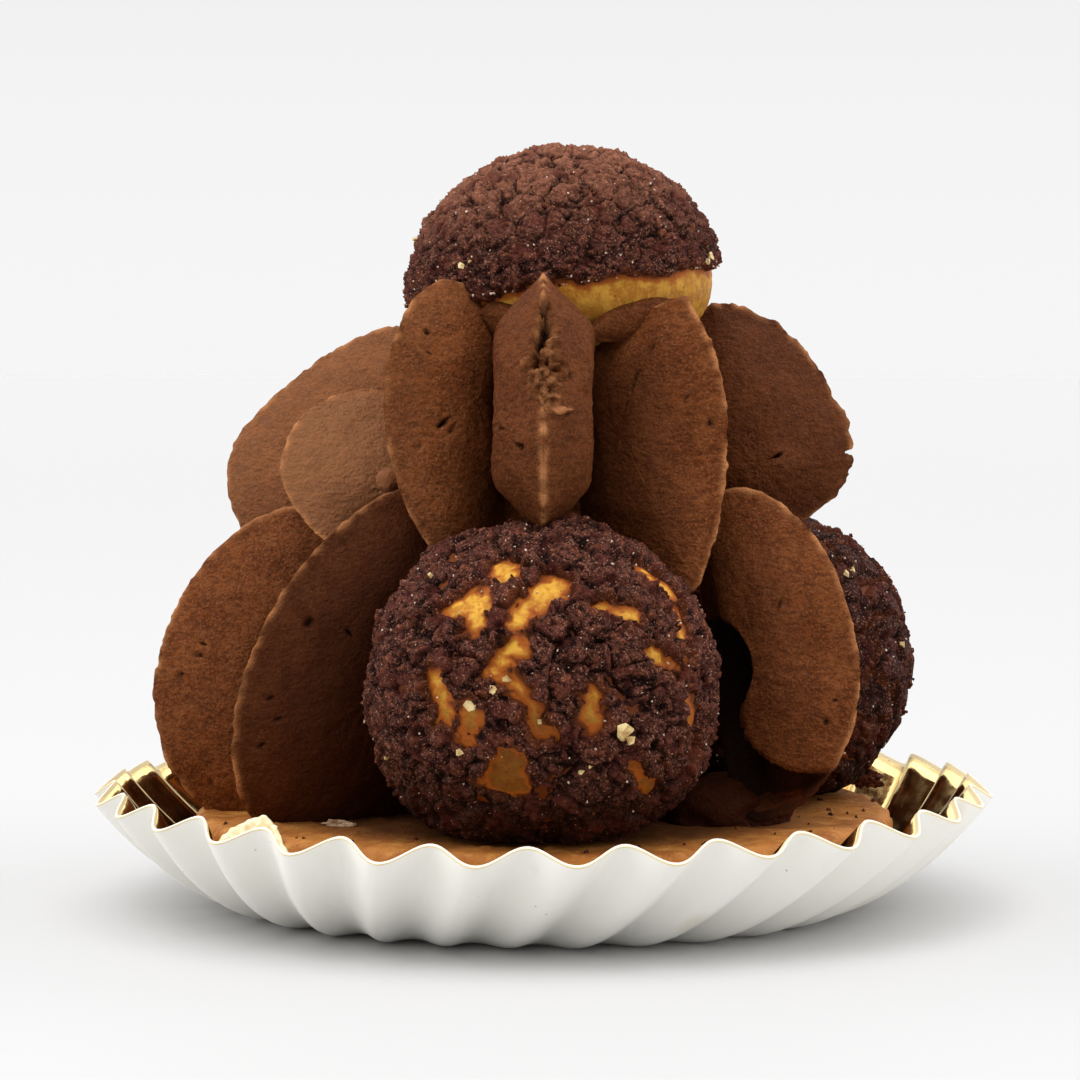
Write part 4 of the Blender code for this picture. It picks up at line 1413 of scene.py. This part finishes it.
class CAKE_OT_stage(bpy.types.Operator):
    """Sets the pale floor, the soft lights and the camera"""

    bl_idname = "cake.stage"
    bl_label = "Floor, lights and camera"

    def execute(self, context):
        settings = context.scene.cake_stage
        set_floor(settings)
        set_lights(context, settings)
        set_camera(context)
        return {"FINISHED"}


# ---------------------------------------------------------------- the stage

FLOOR_REACH = 4.0  # in metres, like the lamp's place and size
LAMP_PLACE = (-0.22, -0.28, 0.75)
LAMP_SIZE = 0.4
CAMERA_PLACE = (-0.34, -416.7, 65.2)  # in millimetres
CAMERA_DOWN = 3.39  # how far it looks down, in degrees
LENS = 124.3  # in millimetres, over a sensor 36 mm wide


def set_floor(settings):
    """A round floor, which pales slightly where it meets the horizon."""
    finish = Finish("pale_floor", settings.floor_colour, Roughness=0.6, Specular_IOR_Level=0.2)
    reach = finish.add("ShaderNodeVectorMath", {0: finish.spot}, operation="LENGTH").outputs["Value"]
    finish.coat(settings.floor_far, finish.between(reach, 0.5, 2.2))
    turns = np.arange(96) / 96 * FULL_TURN
    rim = np.stack((np.cos(turns), np.sin(turns), np.zeros_like(turns)), axis=1) * FLOOR_REACH
    mesh = bpy.data.meshes.new("floor")
    mesh.from_pydata(rim.tolist(), [], [range(len(rim))])
    mesh.materials.append(finish.material)
    floor = bpy.data.objects.new("floor", mesh)
    bpy.context.scene.collection.objects.link(floor)


def set_lights(context, settings):
    """Light from a wide soft source overhead and a softer one at each side, less from behind and little
    from the front, over a pale strip all round the horizon, and one large lamp."""
    world = bpy.data.worlds.new("studio")
    world.use_nodes = True
    sky = NodeTree(world.node_tree)
    aim = sky.add("ShaderNodeTexCoord").outputs["Generated"]
    parts = sky.add("ShaderNodeSeparateXYZ", {0: aim}).outputs
    sides = sky.between(sky.times(parts["X"], parts["X"]), 0.25, 0.8, 0.0, settings.side_sky)
    wall = sky.sum(sky.between(parts["Y"], -0.5, 0.7, 0.42, 0.7), sides)
    horizon = sky.between(parts["Z"], 0.0, 0.12, 0.92, 0.87)
    level = sky.between(parts["Z"], 0.12, 0.20, 1.0, 0.0)
    low = sky.sum(sky.times(horizon, level), sky.times(wall, sky.sum(1.0, level, "SUBTRACT")))
    over = sky.between(parts["Z"], 0.45, 0.88)
    total = sky.sum(sky.times(low, sky.sum(1.0, over, "SUBTRACT")), sky.times(over, settings.sky))
    background = world.node_tree.nodes["Background"]
    sky.fill(background.inputs["Color"], (1.0, 1.0, 1.0))
    sky.fill(background.inputs["Strength"], total)
    context.scene.world = world
    light = bpy.data.lights.new("key_lamp", "AREA")
    light.size = LAMP_SIZE
    light.energy = settings.lamp
    lamp = bpy.data.objects.new("key_lamp", light)
    lamp.location = LAMP_PLACE
    aimed = (FRAME_BOX[0] + FRAME_BOX[1]) / 2 - lamp.location
    lamp.rotation_euler = aimed.to_track_quat("-Z", "Y").to_euler()
    context.scene.collection.objects.link(lamp)
    context.scene.view_settings.view_transform = "Standard"


def set_camera(context):
    """A long lens a little above the cake, looking slightly down from straight in front."""
    data = bpy.data.cameras.new("camera")
    data.sensor_width = 36.0
    data.lens = LENS
    data.clip_start = 0.01
    camera = bpy.data.objects.new("camera", data)
    camera.location = [component * MM for component in CAMERA_PLACE]
    camera.rotation_euler = (math.radians(90 - CAMERA_DOWN), 0.0, 0.0)
    context.scene.collection.objects.link(camera)
    context.scene.camera = camera


# ---------------------------------------------------------------- the panel and the registering


class CAKE_PT_panel(bpy.types.Panel):
    """Lists the steps that make the cake, in order, and their settings"""

    bl_idname = "CAKE_PT_panel"
    bl_label = "Saint-honore"
    bl_space_type = "VIEW_3D"
    bl_region_type = "UI"
    bl_category = "Cake"

    def draw(self, context):
        for operator in OPERATORS:
            self.layout.operator(operator.bl_idname)
        for name in GROUPS:
            group = getattr(context.scene, name)
            box = self.layout.box()
            for setting in group.bl_rna.properties.keys():
                if setting not in ("rna_type", "name"):
                    box.prop(group, setting)


GROUPS = {
    "cake_case": CaseSettings,
    "cake_pastry": PastrySettings,
    "cake_cream": CreamSettings,
    "cake_stage": StageSettings,
}
OPERATORS = (CAKE_OT_case, CAKE_OT_disc, CAKE_OT_buns, CAKE_OT_cream, CAKE_OT_crumbs, CAKE_OT_stage)


def register():
    for kind in (*GROUPS.values(), *OPERATORS, CAKE_PT_panel):
        bpy.utils.register_class(kind)
    for name, kind in GROUPS.items():
        setattr(bpy.types.Scene, name, bpy.props.PointerProperty(type=kind))


def unregister():
    for name in GROUPS:
        delattr(bpy.types.Scene, name)
    for kind in (CAKE_PT_panel, *OPERATORS[::-1], *list(GROUPS.values())[::-1]):
        bpy.utils.unregister_class(kind)


def main():
    register()
    bpy.ops.cake.case()
    bpy.ops.cake.disc()
    bpy.ops.cake.buns()
    bpy.ops.cake.cream()
    bpy.ops.cake.crumbs()
    bpy.ops.cake.stage()


if __name__ == "__main__":
    main()
